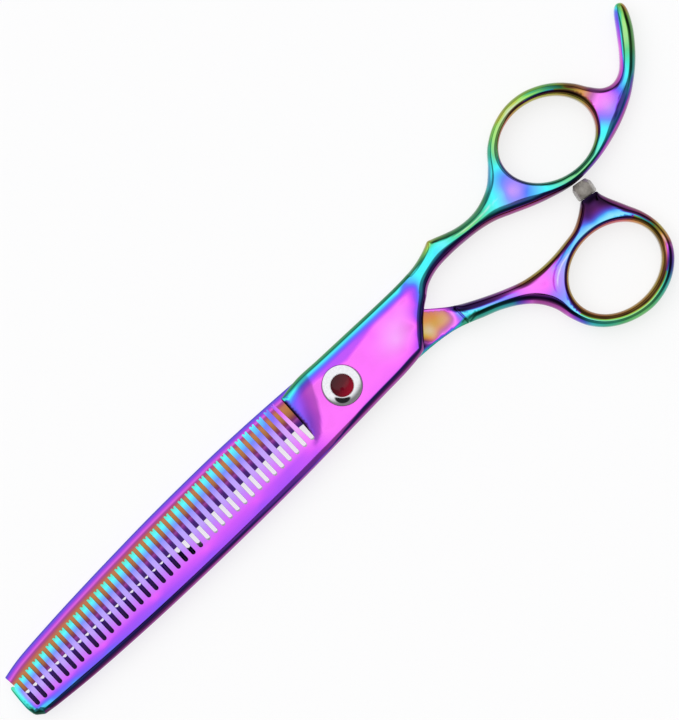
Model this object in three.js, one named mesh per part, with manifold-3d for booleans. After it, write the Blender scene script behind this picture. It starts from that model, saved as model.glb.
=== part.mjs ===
// Thinning shears, seven inches from the tip to the end of the finger ring, with a jewelled pivot screw.
// Millimetres. The origin is on the pivot axis, in the plane that the closed shears lie on. +X runs from
// the pivot to the handles, +Y points to the finger ring's side, and +Z to the toothed half's outer face.

import Module from 'manifold-3d';
import * as THREE from 'three';
import { mergeVertices } from 'three/addons/utils/BufferGeometryUtils.js';

// ---- Levels along the pivot axis ----
const LAY_Z = 0;
const BLADE_BACK_Z = 0.5;
const THUMB_RIDE_Z = 3.1;
const COMB_RIDE_Z = 3.16;
const BODY_TOP_Z = 5.8;
const RING_TOP_Z = 5.6;
const HEAD_WASHER_Z = [5.82, 6.05];
const HEAD_BASE_Z = 6.07;
const HEAD_TOP_Z = 7.3;
const GEM_SEAT_Z = 6.6;
const GEM_TOP_Z = 7.75;
const COUNTERBORE_TOP_Z = 1.63;
const BUSHING_Z = [1.65, 3.1];
const THRUST_WASHER_Z = [1.35, 1.6];
const WAVE_SPRING_MID_Z = 1.15;
const NUT_TOP_Z = 0.95;
const POST_STEP_Z = 1.3;
const OVERSHOOT = 2;

// ---- Edges of the two forgings: how far a rounded edge reaches in, and how far it drops ----
const EDGE_INSET = 0.95;
const EDGE_DROP = 2.1;
const EDGE_STEPS = 3;
const CURVE_STEPS = 2;
const HOLE_STEPS = 28;

// ---- Toothed blade ----
const TOOTH_COUNT = 38;
const TOOTH_PITCH = 2.2;
const SLOT_WIDTH = 0.95;
const SLOT_STEPS = 3;
const FIRST_SLOT_X = -12.35;
const SLOT_ROOT_Y = -4.05;
const SLOT_FLOOR_RUN = { steep: 0.3, steepFromX: -43, shallow: 3.3, shallowToX: -52 };
const BODY_END_X = -11.8;
const NOTCH_WIDTH = 0.6;
const NOTCH_DEPTH = 0.65;
const LAST_TOOTH_X = -95.25;
const COMB_TAPER = 0.0107;
const GRIND_START_Y = -5.4;
const GRIND_SLOPE = 0.1455;
const FACET_POINT = [-4.5, 4.5];
const FACET_TOWARDS = [-0.84, 0.54];
const FACET_SLOPE = 0.1;

// ---- Straight blade ----
const BACK_TAPER = 0.012;
const BACK_TAPER_X = -12;
const CUTTING_EDGE_Y = -0.35;
const CUTTING_EDGE_THICKNESS = 0.15;
const CUTTING_BEVEL_SLOPE = 0.7;
const CUTTING_BEVEL_END_X = -11;

// ---- Where each half steps from blade thickness to full handle thickness ----
const COMB_SHOULDER_X = 26.5;
const COMB_RING_START_X = 40.4;
const THUMB_SHOULDER_X = 28.6;

// ---- Rings: centre, half-axes and turn of the two finger holes ----
const FINGER_HOLE = { x: 68, y: 7.4, long: 10.9, short: 8.7, turn: THREE.MathUtils.degToRad(-14) };
const THUMB_HOLE = { x: 59.4, y: -22.5, long: 10.9, short: 8.75, turn: 0 };

// ---- Pivot hardware radii ----
const HEAD_R = 4.35;
const HEAD_DOME = [[HEAD_R, 6.62], [4.1, 6.95], [3.6, 7.22], [3.05, HEAD_TOP_Z]];
const GEM_R = 2.5;
const GEM_CROWN = [[GEM_R, 7.1], [2.1, 7.45], [1.45, 7.68], [0.8, GEM_TOP_Z]];
const GEM_SEAT_GAP = 0.05;
const GEM_CUP_R = 2.6;
const GEM_CUP_RIM = [[GEM_CUP_R + 0.08, 7.2], [GEM_CUP_R, 7.1]];
const TURNED_EASE = 0.15;
const BARREL_R = 2;
const BARREL_FLAT = 1.7;
const STUD_R = 1.5;
const RUNNING_GAP = 0.05;
const WASHER_GAP = 0.1;
const BUSHING_R = 2.8;
const COUNTERBORE_R = 4.1;
const THRUST_WASHER_R = 3.9;
const HEAD_WASHER_R = 4.45;
const NUT_R = 3.75;
const KEY_SLOT = { width: 1.2, depth: 0.6, fromStud: 0.8 };
const SPRING = { inner: 1.75, outer: 3.4, thickness: 0.18, wave: 0.07, waves: 3 };
const ROUND_STEPS = 36;

// ---- Bumper: a plug pressed into the thumb ring's stub ----
const BUMPER_BASE = [65.95, -7.5];
const BUMPER_TURN = THREE.MathUtils.degToRad(80);
const BUMPER_MID_Z = 2.8;
const BUMPER_R = 2.2;
const BUMPER_LENGTH = 3.7;
const BUMPER_FOOT = [[BUMPER_R - 0.15, 0.3], [BUMPER_R, 0.5]];
const BUMPER_END = [[BUMPER_R, 2.6], [1.9, 3.25], [1.35, BUMPER_LENGTH]];
const BUMPER_STEM = { radius: 1, length: 2.4 };
const BUMPER_STEM_HOLE_TOP = 1;
const BUMPER_STEPS = 24;

// ---- Outlines, as seen from +Z. Each stretch is a smooth curve, and stretches meet at corners ----
const BODY_CORNER = [-11.4, 7.8];
const CUSP = [34.4, 9.55];
const COMB_TIP_LOW = [-94.4, -6.5];
const COMB_TIP_MID = [-96.1, -5.2];
const COMB_TIP_HIGH = [-96.05, 2.45];
const BODY_TOP_EDGE = [[-6, 7.75], [0, 7.6], [8, 7.45], [16, 7.3], [23, 7.28], [28, 7.6], [31.5, 8.4], CUSP];
const FINGER_RING_AND_TANG = [
  [36, 9], [38.5, 8.05], [41, 7.3], [43.7, 6.95], [46.5, 7.1], [49.3, 7.9], [52, 9.3], [54.6, 11.7],
  [57.5, 14.9], [61.5, 17.4], [66, 18.65], [70.5, 18.45], [74.5, 17], [77.8, 14.8], [80.4, 12.1],
  [82.2, 9.4], [84.2, 7.1], [86.6, 6.3], [89.2, 7.2], [91.8, 9.8], [94.6, 13.5], [97, 16.8],
  [98.4, 17.9], [99.6, 17.4], [99.8, 16],
];
const TANG_AND_SHANK_UNDERSIDE = [
  [99, 13.8], [97.2, 10.8], [94, 7], [90.4, 3.8], [86.3, 1], [81, -1.35], [75, -2.95], [69, -3.6],
  [64.5, -3.35], [60, -2.2], [56, -0.8], [52, 0.9], [48, 2.55], [44, 3.45], [40, 3.85], [36, 4],
  [32, 3.75], [28.5, 2.7], [26, 1], [24, -0.4], [22, -2.2], [20, -4.4], [18.6, -6], [17, -6.95],
];
const COMB_SPINE = [
  [12, -7.55], [5, -7.8], [-5, -8.15], [-20, -8.65], [-35, -8.85], [-50, -8.8], [-65, -8.5], [-80, -7.85],
  [-90, -7.05], COMB_TIP_LOW,
];
const COMB_END = [[-96.4, -3], [-96.35, -0.5], COMB_TIP_HIGH];
const TOOTH_TIPS = [
  [-94, 2.8], [-91, 3.15], [-87, 3.6], [-77, 4.45], [-66.5, 5.2], [-56, 5.75], [-46, 6.3], [-36, 6.85],
  [-25, 7.2], [-14.3, 7.45], BODY_CORNER,
];

const THUMB_TIP_LOW = [-94.9, -0.1];
const THUMB_TIP_HIGH = [-95.3, 5.1];
const STUB_LEFT = [63.95, -7.15];
const STUB_RIGHT = [67.8, -7.85];
const THUMB_SPINE = [
  [-90, 6.1], [-80, 6.95], [-70, 7.55], [-60, 8], [-50, 8.35], [-40, 8.5], [-30, 8.5], [-20, 8.25],
  [-8, 7.7], [2, 7.1], [10, 6.9], [16, 5.4], [20, 2.9], [24, -0.5], [28, -3.7], [31, -5.5], [35, -7.5],
  [39, -9.25], [43, -10.7], [47, -11.4], [51, -11.5], [55, -11.1], [58.5, -10.5], [61.5, -9], STUB_LEFT,
];
const THUMB_RING = [
  [68.7, -10.5], [70.4, -14.2], [72.1, -18.2], [72.8, -22.4], [72.1, -26.6], [69.6, -30.2], [65.4, -33],
  [60, -34.2], [54.6, -33.3], [50, -30.9], [46.9, -27.6], [45.2, -23.8], [44.2, -20], [42.4, -16.9],
  [39.6, -14.3], [35.8, -12.1], [31.6, -10.45], [27.5, -8.8], [23.5, -7.85], [18, -7.3],
];
const RIDE_UNDERSIDE = [[11, -7.1], [4, -6.9], [-3, -5.9], [-8, -3.4], [-12, -0.2]];
const CUTTING_EDGE = [[-30, -0.28], [-50, CUTTING_EDGE_Y], [-70, -0.25], THUMB_TIP_LOW];

const FAR = 150;

const wasm = await Module();
wasm.setup();

// ---- Solids: three.js geometry in, booleans by manifold-3d, three.js geometry out ----

function solidOf(geometry) {
  const bare = geometry.clone();
  bare.deleteAttribute('normal');
  bare.deleteAttribute('uv');
  const merged = mergeVertices(bare, 1e-4);
  const vertProperties = new Float32Array(merged.attributes.position.array);
  const triVerts = new Uint32Array(merged.index.array);
  return new wasm.Manifold(new wasm.Mesh({ numProp: 3, vertProperties, triVerts }));
}

function geometryOf(solid) {
  const { vertProperties, triVerts } = solid.getMesh();
  const geometry = new THREE.BufferGeometry();
  geometry.setAttribute('position', new THREE.BufferAttribute(vertProperties, 3));
  geometry.setIndex(new THREE.BufferAttribute(triVerts, 1));
  const facets = geometry.toNonIndexed();
  facets.computeVertexNormals();
  return facets;
}

function cut(solid, cutters) {
  return cutters.reduce((left, cutter) => left.subtract(solidOf(cutter)), solid);
}

function namedMesh(name, geometry, material) {
  const mesh = new THREE.Mesh(geometry, material);
  mesh.name = name;
  return mesh;
}

// ---- Shapes ----

function vectors(points) {
  return points.map(([x, y]) => new THREE.Vector2(x, y));
}

function ellipsePath({ x, y, long, short, turn }) {
  const path = new THREE.Path();
  path.absellipse(x, y, long, short, 0, 2 * Math.PI, false, turn);
  return new THREE.Path(path.getPoints(HOLE_STEPS));
}

// A plate between two levels whose edges are rounded inwards from the outline.
function roundedPlate(shape, low, high) {
  const plate = new THREE.ExtrudeGeometry(shape, {
    depth: high - low - 2 * EDGE_DROP,
    curveSegments: CURVE_STEPS,
    bevelThickness: EDGE_DROP,
    bevelSize: EDGE_INSET,
    bevelOffset: -EDGE_INSET,
    bevelSegments: EDGE_STEPS,
  });
  return plate.translate(0, 0, low + EDGE_DROP);
}

function prism(shape, low, high, curveSegments) {
  const body = new THREE.ExtrudeGeometry(shape, { depth: high - low, bevelEnabled: false, curveSegments });
  return body.translate(0, 0, low);
}

function block([x0, x1], [y0, y1], [z0, z1]) {
  const box = new THREE.BoxGeometry(x1 - x0, y1 - y0, z1 - z0);
  return box.translate((x0 + x1) / 2, (y0 + y1) / 2, (z0 + z1) / 2);
}

// A block over x in [x0, x1] whose floor or ceiling tilts: it lies at level on the line through the point
// and rises by the two slopes along X and Y.
function tiltedBlock([x0, x1], level, [px, py], slopeX, slopeY, height) {
  const box = block([x0, x1], [-FAR, FAR], height > 0 ? [0, height] : [height, 0]);
  box.applyMatrix4(new THREE.Matrix4().makeShear(0, slopeX, 0, slopeY, 0, 0));
  return box.translate(0, 0, level - slopeX * px - slopeY * py);
}

function upright(radius, low, high, steps = ROUND_STEPS) {
  const cylinder = new THREE.CylinderGeometry(radius, radius, high - low, steps);
  return cylinder.rotateX(Math.PI / 2).translate(0, 0, (low + high) / 2);
}

// A turned piece about +Z from a profile of [radius, z] points that ends on the axis or closes on itself.
function turned(profile, steps = ROUND_STEPS) {
  return new THREE.LatheGeometry(vectors(profile), steps).rotateX(Math.PI / 2);
}

function ring(inner, outer, [low, high], ease = 0.05) {
  return turned([
    [inner, low], [outer - ease, low], [outer, low + ease], [outer, high - ease], [outer - ease, high],
    [inner, high], [inner, low],
  ]);
}

// ---- Toothed half ----

function combShape() {
  const shape = new THREE.Shape();
  shape.moveTo(...BODY_CORNER);
  shape.splineThru(vectors(BODY_TOP_EDGE));
  shape.splineThru(vectors(FINGER_RING_AND_TANG));
  shape.splineThru(vectors(TANG_AND_SHANK_UNDERSIDE));
  shape.splineThru(vectors(COMB_SPINE));
  shape.lineTo(...COMB_TIP_MID);
  shape.splineThru(vectors(COMB_END));
  shape.splineThru(vectors(TOOTH_TIPS));
  shape.holes.push(ellipsePath(FINGER_HOLE));
  return shape;
}

// How far a gap's root lies further back on the inner face than on the outer. It grows towards the tip.
function slotFloorRun(x) {
  const { steep, steepFromX, shallow, shallowToX } = SLOT_FLOOR_RUN;
  const along = THREE.MathUtils.clamp(x, shallowToX, steepFromX);
  return THREE.MathUtils.mapLinear(along, shallowToX, steepFromX, shallow, steep);
}

// One gap between teeth, with a rounded root that leans.
function toothSlot(x) {
  const half = SLOT_WIDTH / 2;
  const shape = new THREE.Shape();
  shape.moveTo(x - half, FAR);
  shape.lineTo(x - half, SLOT_ROOT_Y + half);
  shape.absarc(x, SLOT_ROOT_Y + half, half, Math.PI, 2 * Math.PI, false);
  shape.lineTo(x + half, FAR);
  const lean = -slotFloorRun(x) / (BODY_TOP_Z - COMB_RIDE_Z);
  const slot = prism(shape, COMB_RIDE_Z - BODY_TOP_Z - OVERSHOOT, OVERSHOOT, SLOT_STEPS);
  slot.applyMatrix4(new THREE.Matrix4().makeShear(0, 0, 0, 0, 0, lean));
  return slot.translate(0, 0, BODY_TOP_Z);
}

function toothTipY(x) {
  const tips = [COMB_TIP_HIGH, ...TOOTH_TIPS];
  const next = tips.findIndex(([tipX]) => tipX > x);
  const [x0, y0] = tips[next - 1];
  const [x1, y1] = tips[next];
  return THREE.MathUtils.mapLinear(x, x0, x1, y0, y1);
}

function toothNotch(x) {
  const tip = toothTipY(x);
  const spread = NOTCH_WIDTH / 2 / NOTCH_DEPTH;
  const reach = NOTCH_DEPTH + OVERSHOOT;
  const shape = new THREE.Shape(vectors([
    [x, tip - NOTCH_DEPTH], [x + spread * reach, tip + OVERSHOOT], [x - spread * reach, tip + OVERSHOOT],
  ]));
  return prism(shape, COMB_RIDE_Z - OVERSHOOT, BODY_TOP_Z + OVERSHOOT);
}

function toothCutters() {
  const cutters = [toothNotch(LAST_TOOTH_X)];
  for (let i = 0; i < TOOTH_COUNT; i += 1) {
    const slotX = FIRST_SLOT_X - i * TOOTH_PITCH;
    cutters.push(toothSlot(slotX));
    if (i < TOOTH_COUNT - 1) {
      cutters.push(toothNotch(slotX - TOOTH_PITCH / 2));
    }
  }
  return cutters;
}

function combHalf() {
  const blank = solidOf(roundedPlate(combShape(), LAY_Z, BODY_TOP_Z));
  const height = BODY_TOP_Z - LAY_Z;
  const underRide = block([-FAR, COMB_SHOULDER_X], [-FAR, FAR], [LAY_Z - OVERSHOOT, COMB_RIDE_Z]);
  const overRing = block([COMB_RING_START_X, FAR], [-FAR, FAR], [RING_TOP_Z, BODY_TOP_Z + OVERSHOOT]);
  const bladeStart = [BODY_END_X, GRIND_START_Y];
  const taper = tiltedBlock([-FAR, BODY_END_X], BODY_TOP_Z, bladeStart, COMB_TAPER, 0, height);
  const grind = tiltedBlock([-FAR, BODY_END_X], BODY_TOP_Z, bladeStart, COMB_TAPER, -GRIND_SLOPE, height);
  const [towardsX, towardsY] = FACET_TOWARDS;
  const facet = tiltedBlock(
    [BODY_END_X, 0], BODY_TOP_Z, FACET_POINT, -FACET_SLOPE * towardsX, -FACET_SLOPE * towardsY, height);
  const screwHole = doubleD(BARREL_R + RUNNING_GAP, BARREL_FLAT + RUNNING_GAP, LAY_Z, BODY_TOP_Z + OVERSHOOT);
  const shaped = cut(blank, [underRide, overRing, taper, grind, facet, ...toothCutters()]);
  return geometryOf(shaped.subtract(screwHole));
}

// ---- Straight half ----

function thumbShape() {
  const shape = new THREE.Shape();
  shape.moveTo(...THUMB_TIP_LOW);
  shape.lineTo(...THUMB_TIP_HIGH);
  shape.splineThru(vectors(THUMB_SPINE));
  shape.lineTo(...STUB_RIGHT);
  shape.splineThru(vectors(THUMB_RING));
  shape.splineThru(vectors(RIDE_UNDERSIDE));
  shape.splineThru(vectors(CUTTING_EDGE));
  shape.holes.push(ellipsePath(THUMB_HOLE));
  return shape;
}

function thumbHalf() {
  const blank = solidOf(roundedPlate(thumbShape(), LAY_Z, RING_TOP_Z));
  const overRide = block([-FAR, THUMB_SHOULDER_X], [-FAR, FAR], [THUMB_RIDE_Z, BODY_TOP_Z]);
  const underBlade = block([-FAR, THUMB_SHOULDER_X], [-FAR, FAR], [LAY_Z - OVERSHOOT, BLADE_BACK_Z]);
  const backStart = [BACK_TAPER_X, 0];
  const taper = tiltedBlock([-FAR, BACK_TAPER_X], BLADE_BACK_Z, backStart, -BACK_TAPER, 0, -OVERSHOOT);
  const edgeLevel = THUMB_RIDE_Z - CUTTING_EDGE_THICKNESS;
  const bevel = tiltedBlock(
    [-FAR, CUTTING_BEVEL_END_X], edgeLevel, [0, CUTTING_EDGE_Y], 0, -CUTTING_BEVEL_SLOPE, -FAR);
  const bore = upright(BUSHING_R + RUNNING_GAP, LAY_Z, BODY_TOP_Z);
  const counterbore = upright(COUNTERBORE_R, LAY_Z - OVERSHOOT, COUNTERBORE_TOP_Z);
  const stemHole = alongBumper(
    upright(BUMPER_STEM.radius + RUNNING_GAP, -BUMPER_STEM.length - RUNNING_GAP, BUMPER_STEM_HOLE_TOP));
  return geometryOf(cut(blank, [overRide, underBlade, taper, bevel, bore, counterbore, stemHole]));
}

// ---- Pivot hardware ----

// A round bar about +Z with two flats facing +Y and -Y.
function doubleD(radius, flat, low, high) {
  const bar = solidOf(upright(radius, low, high));
  return bar.intersect(solidOf(block([-radius, radius], [-flat, flat], [low, high])));
}

function pivotPost() {
  const shaft = turned([
    [0, LAY_Z], [STUD_R - TURNED_EASE, LAY_Z], [STUD_R, LAY_Z + TURNED_EASE], [STUD_R, POST_STEP_Z],
    [BARREL_R, POST_STEP_Z], [BARREL_R, HEAD_BASE_Z], [HEAD_R - TURNED_EASE, HEAD_BASE_Z],
    [HEAD_R, HEAD_BASE_Z + TURNED_EASE], ...HEAD_DOME, ...GEM_CUP_RIM, [GEM_CUP_R, GEM_SEAT_Z],
    [0, GEM_SEAT_Z],
  ]);
  const flats = [1, -1].map((side) => {
    const edges = [side * BARREL_FLAT, side * HEAD_R].sort((a, b) => a - b);
    return block([-HEAD_R, HEAD_R], edges, [COMB_RIDE_Z, HEAD_BASE_Z]);
  });
  return geometryOf(cut(solidOf(shaft), flats));
}

function pivotGem() {
  const base = GEM_SEAT_Z + GEM_SEAT_GAP;
  return turned([[0, base], [GEM_R, base], ...GEM_CROWN, [0, GEM_TOP_Z]]);
}

function waveSpring() {
  const { inner, outer, thickness, wave, waves } = SPRING;
  const half = thickness / 2;
  const flat = ring(inner, outer, [WAVE_SPRING_MID_Z - half, WAVE_SPRING_MID_Z + half], 0.03);
  const { position } = flat.attributes;
  for (let i = 0; i < position.count; i += 1) {
    const turn = Math.atan2(position.getY(i), position.getX(i));
    position.setZ(i, position.getZ(i) + wave * Math.cos(waves * turn));
  }
  return flat;
}

function tensionNut() {
  const disc = ring(STUD_R + RUNNING_GAP, NUT_R, [LAY_Z, NUT_TOP_Z], 0.12);
  const half = KEY_SLOT.width / 2;
  const keySlots = [1, -1].map((side) => {
    const along = [side * (STUD_R + KEY_SLOT.fromStud), side * (NUT_R + OVERSHOOT)].sort((a, b) => a - b);
    return block(along, [-half, half], [LAY_Z - OVERSHOOT, LAY_Z + KEY_SLOT.depth]);
  });
  return geometryOf(cut(solidOf(disc), keySlots));
}

// ---- Bumper ----

// Turns a piece made about +Z so that its axis leaves the stub's end face in the plane of the rings.
function alongBumper(geometry) {
  geometry.rotateY(Math.PI / 2).rotateZ(BUMPER_TURN);
  return geometry.translate(BUMPER_BASE[0], BUMPER_BASE[1], BUMPER_MID_Z);
}

function bumper() {
  const { radius, length } = BUMPER_STEM;
  return alongBumper(turned([
    [0, -length], [radius, -length], [radius, BUMPER_FOOT[0][1]], ...BUMPER_FOOT, ...BUMPER_END,
    [0, BUMPER_LENGTH],
  ], BUMPER_STEPS));
}

// ---- Materials ----

function metal(color, roughness) {
  return new THREE.MeshStandardMaterial({ color, roughness, metalness: 1 });
}

function plastic(color, roughness) {
  return new THREE.MeshStandardMaterial({ color, roughness, metalness: 0 });
}

// ---- Assembly ----

const shears = new THREE.Group();
shears.add(
  namedMesh('comb_half', combHalf(), metal(0x9a6bff, 0.12)),
  namedMesh('thumb_half', thumbHalf(), metal(0xb06ad8, 0.12)),
  namedMesh('pivot_post', pivotPost(), metal(0xe6e8ec, 0.06)),
  namedMesh('pivot_gem', pivotGem(), plastic(0x7a0f22, 0.05)),
  namedMesh('head_washer', ring(BARREL_R + WASHER_GAP, HEAD_WASHER_R, HEAD_WASHER_Z), plastic(0x20222b, 0.5)),
  namedMesh('pivot_bushing', ring(BARREL_R + RUNNING_GAP, BUSHING_R, BUSHING_Z), plastic(0xe9e6da, 0.45)),
  namedMesh(
    'thrust_washer', ring(BARREL_R + WASHER_GAP, THRUST_WASHER_R, THRUST_WASHER_Z),
    plastic(0xe9e6da, 0.45)),
  namedMesh('wave_spring', waveSpring(), metal(0xb9bcc2, 0.3)),
  namedMesh('tension_nut', tensionNut(), metal(0xc9ccd2, 0.25)),
  namedMesh('bumper', bumper(), plastic(0x8b8580, 0.35)),
);

export default shears;
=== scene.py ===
import math

import bpy
import numpy as np
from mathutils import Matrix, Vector
from mathutils.geometry import delaunay_2d_cdt


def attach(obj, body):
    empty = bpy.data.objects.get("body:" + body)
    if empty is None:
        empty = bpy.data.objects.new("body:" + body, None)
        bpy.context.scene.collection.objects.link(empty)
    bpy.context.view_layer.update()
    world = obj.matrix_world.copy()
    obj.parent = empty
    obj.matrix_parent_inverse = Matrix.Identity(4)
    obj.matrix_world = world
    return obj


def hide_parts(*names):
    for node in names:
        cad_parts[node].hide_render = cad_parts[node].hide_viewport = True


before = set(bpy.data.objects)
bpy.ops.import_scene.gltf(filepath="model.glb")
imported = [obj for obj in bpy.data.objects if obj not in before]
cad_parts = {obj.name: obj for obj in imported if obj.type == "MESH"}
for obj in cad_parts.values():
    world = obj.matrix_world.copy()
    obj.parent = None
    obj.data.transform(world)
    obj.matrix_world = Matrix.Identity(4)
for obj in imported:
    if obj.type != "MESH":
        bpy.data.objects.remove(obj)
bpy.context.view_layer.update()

MM = 0.001

# ---- Levels along the pivot axis ----
BODY_TOP_Z = 5.8
THUMB_TOP_Z = 5.55
FINGER_RING_THICKNESS = 5.6
THUMB_RING_THICKNESS = 5.5
COMB_RIDE_Z = 3.16
THUMB_RIDE_Z = 3.1
BLADE_BACK_Z = 0.5
COUNTERBORE_TOP_Z = 1.63
FLOOR_Z = -0.05

# ---- Toothed blade ----
TOOTH_COUNT = 38
TOOTH_PITCH = 2.2
TOOTH_EASE = 0.05
SLOT_WIDTH = 0.95
FIRST_SLOT_X = -12.35
FIRST_GAP_FLARE = {-1: 0.05, 1: 0.04}
SLOT_ROOT_Y = -4.05
SLOT_ROOT_BACK = {"x": (-52, -43), "y": (-0.75, -3.75)}
BODY_END_X = -11.75
NOTCH_WIDTH = 0.5
NOTCH_DEPTH = 0.45
COMB_TAPER = 0.0107
GRIND_SLOPE = 0.1455
GRIND_SOFTNESS = 0.8
FACET_SLOPE = 0.1
TIP_FACET = {"slope": 0.5, "start": (-95.4, -4), "lean": 0.75, "reach": 3, "end_x": -90}
TOP_ROLL = {"curve": 0.06, "start_y": 4.8, "reach": 3, "fade_x": (26, 30)}
COMB_HANDLE_DROP = {"depth": 0.2, "x": (28, 42)}

# ---- Straight blade ----
CUTTING_BEVEL = {"slope": 0.7, "edge_y": -0.35, "edge_z": 2.95, "end_x": -11}
BACK_TAPER = {"slope": 0.012, "start_x": -12}

# ---- Where each half steps from blade thickness to handle thickness ----
COMB_STEP_X = (26.3, 26.7)
THUMB_STEP_X = (28.6, 29.1)
THUMB_FLOOR_STEP_X = (28.5, 28.9)

# ---- Dishes in the webs: centre, reach along x and y, and depth ----
COMB_DISHES = [((54.8, 5), (3.4, 2.4), 0.12), ((83, 4), (3, 2.6), 0.1)]
THUMB_DISHES = [((46, -14.2), (3.2, 2.2), 0.1), ((65.8, -9.8), (2.4, 2), 0.3)]
THUMB_DISHES_X = (38, 42)

# ---- Pivot holes, and the nut with its key slots ----
COMB_HOLE_R = 2.05
BUSHING_HOLE_R = 2.85
COUNTERBORE_R = 4.1
NUT_R = 3.75
NUT_TOP_Z = 0.95
KEY_SLOT_START = 2.3
KEY_SLOT_WIDTH = 1.2
KEY_SLOT_DEPTH = 0.6

# ---- Bumper: where its axis leaves the thumb ring's stub ----
BUMPER_BASE = (65.95, -7.5, 2.8)
BUMPER_TURN = math.radians(80)

# ---- Eased edges: width in and drop down, first on the blade and then on the handle ----
SHARP = (0.05, 0.05)
COMB_BODY_EDGE = [(1.3, 2), (2.4, 2.8)]
COMB_RING_EDGE = [(1.7, 2), (2.6, 2.8)]
COMB_BACK_EDGE = [(0.06, 0.08), (2.4, 2.6)]
COMB_TIP_EDGE = (0.9, 1)
COMB_END_EDGE = (0.5, 0.4)
BODY_END_EDGE = (0.45, 0.8)
THUMB_EDGE = [SHARP, (2.6, 2.8)]
SPINE_EDGE = [(0.45, 0.5), (2.6, 2.8)]
THUMB_BACK_EDGE = [(0.06, 0.06), (2.4, 2.6)]
SPINE_BACK_EDGE = [(0.9, 1.9), (2.4, 2.6)]
STUB_EDGE = (0.12, 0.2)
RING_HOLE_EDGE = (1.2, 1.9)
COMB_HANDLE_X = (24, 30)
COMB_BACK_HANDLE_X = (26.3, 28.5)
THUMB_HANDLE_X = (28.5, 31)
STEEPEST_EDGE = 1.6
# The most of the thickness that an edge's drop can take
COMB_TOP_SHARE = 0.62
COMB_BACK_SHARE = 0.34
THUMB_SHARE = 0.46
RING_HOLE_SHARE = 0.46
SHARP_ANGLE = math.radians(32)

# ---- Sampling ----
OUTLINE_STEP = 0.4
TOOTH_STEP = 0.7
FACE_STEP = 0.5
BACK_FACE_STEP = 0.9
EDGE_LOOPS = 10
BALL_SHARE = 0.93
HOLE_STEPS = 72

# ---- Outlines, as in the CAD source: smooth stretches that meet at corners ----
BODY_CORNER = (BODY_END_X, 7.8)
CUSP = (34.4, 9.55)
COMB_TIP_LOW = (-94.4, -6.5)
COMB_TIP_MID = (-96.1, -5.2)
COMB_TIP_HIGH = (-96.05, 2.45)
BODY_TOP_EDGE = [
    BODY_CORNER, (-6, 7.75), (0, 7.6), (8, 7.45), (16, 7.3), (23, 7.28), (28, 7.6), (31.5, 8.4), CUSP,
]
FINGER_RING_AND_TANG = [
    CUSP, (36, 9), (38.5, 8.05), (41, 7.3), (43.7, 6.95), (46.5, 7.1), (49.3, 7.9), (52, 9.3), (54.6, 11.7),
    (57.5, 14.9), (61.5, 17.4), (66, 18.65), (70.5, 18.45), (74.5, 17), (77.8, 14.8), (80.4, 12.1),
    (82.2, 9.4), (84.2, 7.1), (86.6, 6.3), (89.2, 7.2), (91.8, 9.8), (94.6, 13.5), (97, 16.8),
    (98.4, 17.9), (99.6, 17.4), (99.8, 16), (99, 13.8), (97.2, 10.8), (94, 7), (90.4, 3.8), (86.3, 1),
    (81, -1.35), (75, -2.95), (69, -3.6), (64.5, -3.35), (60, -2.2), (56, -0.8), (52, 0.9), (48, 2.55),
    (44, 3.45), (40, 3.85), (36, 4), (32, 3.75), (28.5, 2.7), (26, 1), (24, -0.4), (22, -2.2), (20, -4.4),
    (18.6, -6), (17, -6.95), (12, -7.55), (5, -7.8), (-5, -8.15), (-20, -8.65), (-35, -8.85), (-50, -8.8),
    (-65, -8.5), (-80, -7.85), (-90, -7.05), COMB_TIP_LOW,
]
COMB_END = [COMB_TIP_MID, (-96.4, -3), (-96.35, -0.5), COMB_TIP_HIGH]
TOOTH_TIPS = [
    COMB_TIP_HIGH, (-94, 2.8), (-91, 3.15), (-87, 3.6), (-77, 4.45), (-66.5, 5.2), (-56, 5.75), (-46, 6.3),
    (-36, 6.85), (-25, 7.2), (-14.3, 7.45), (-11.4, 7.5),
]
THUMB_TIP_LOW = (-94.9, -0.1)
THUMB_TIP_HIGH = (-95.3, 5.1)
STUB_LEFT = (63.95, -7.15)
STUB_RIGHT = (67.8, -7.85)
THUMB_SPINE = [
    THUMB_TIP_HIGH, (-90, 6.1), (-80, 6.95), (-70, 7.55), (-60, 8), (-50, 8.35), (-40, 8.5), (-30, 8.5),
    (-20, 8.25), (-8, 7.7), (2, 7.1), (10, 6.9), (16, 5.4), (20, 2.9), (24, -0.5), (28, -3.7), (31, -5.5),
    (35, -7.5), (39, -9.25), (43, -10.7), (47, -11.4), (51, -11.5), (55, -11.1), (58.5, -10.5), (61.5, -9),
    STUB_LEFT,
]
THUMB_RING = [
    STUB_RIGHT, (68.7, -10.5), (70.4, -14.2), (72.1, -18.2), (72.8, -22.4), (72.1, -26.6), (69.6, -30.2),
    (65.4, -33), (60, -34.2), (54.6, -33.3), (50, -30.9), (46.9, -27.6), (45.2, -23.8), (44.2, -20),
    (42.4, -16.9), (39.6, -14.3), (35.8, -12.1), (31.6, -10.45), (27.5, -8.8), (23.5, -7.85), (18, -7.3),
    (11, -7.1), (4, -6.9), (-3, -5.9), (-8, -3.4), (-12, -0.2), (-30, -0.28), (-50, -0.35), (-70, -0.25),
    THUMB_TIP_LOW,
]
FINGER_HOLE = {"centre": (68, 7.4), "long": 10.9, "short": 8.7, "turn": math.radians(-14)}
THUMB_HOLE = {"centre": (59.4, -22.5), "long": 10.9, "short": 8.75, "turn": 0.0}
GRIND_LINE = [
    (-3.4, 9), (-4.4, 4.6), (-6, 1.2), (-8, -1.8), (-10.3, -4.3), (-13.5, -5.7), (-20, -6.1), (-50, -6.1),
    (-80, -5.6), (-98, -4.8),
]


# ---- Small helpers ----

def smoothstep(low, high, value):
    share = np.clip((value - low) / (high - low), 0, 1)
    return share * share * (3 - 2 * share)


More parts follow.
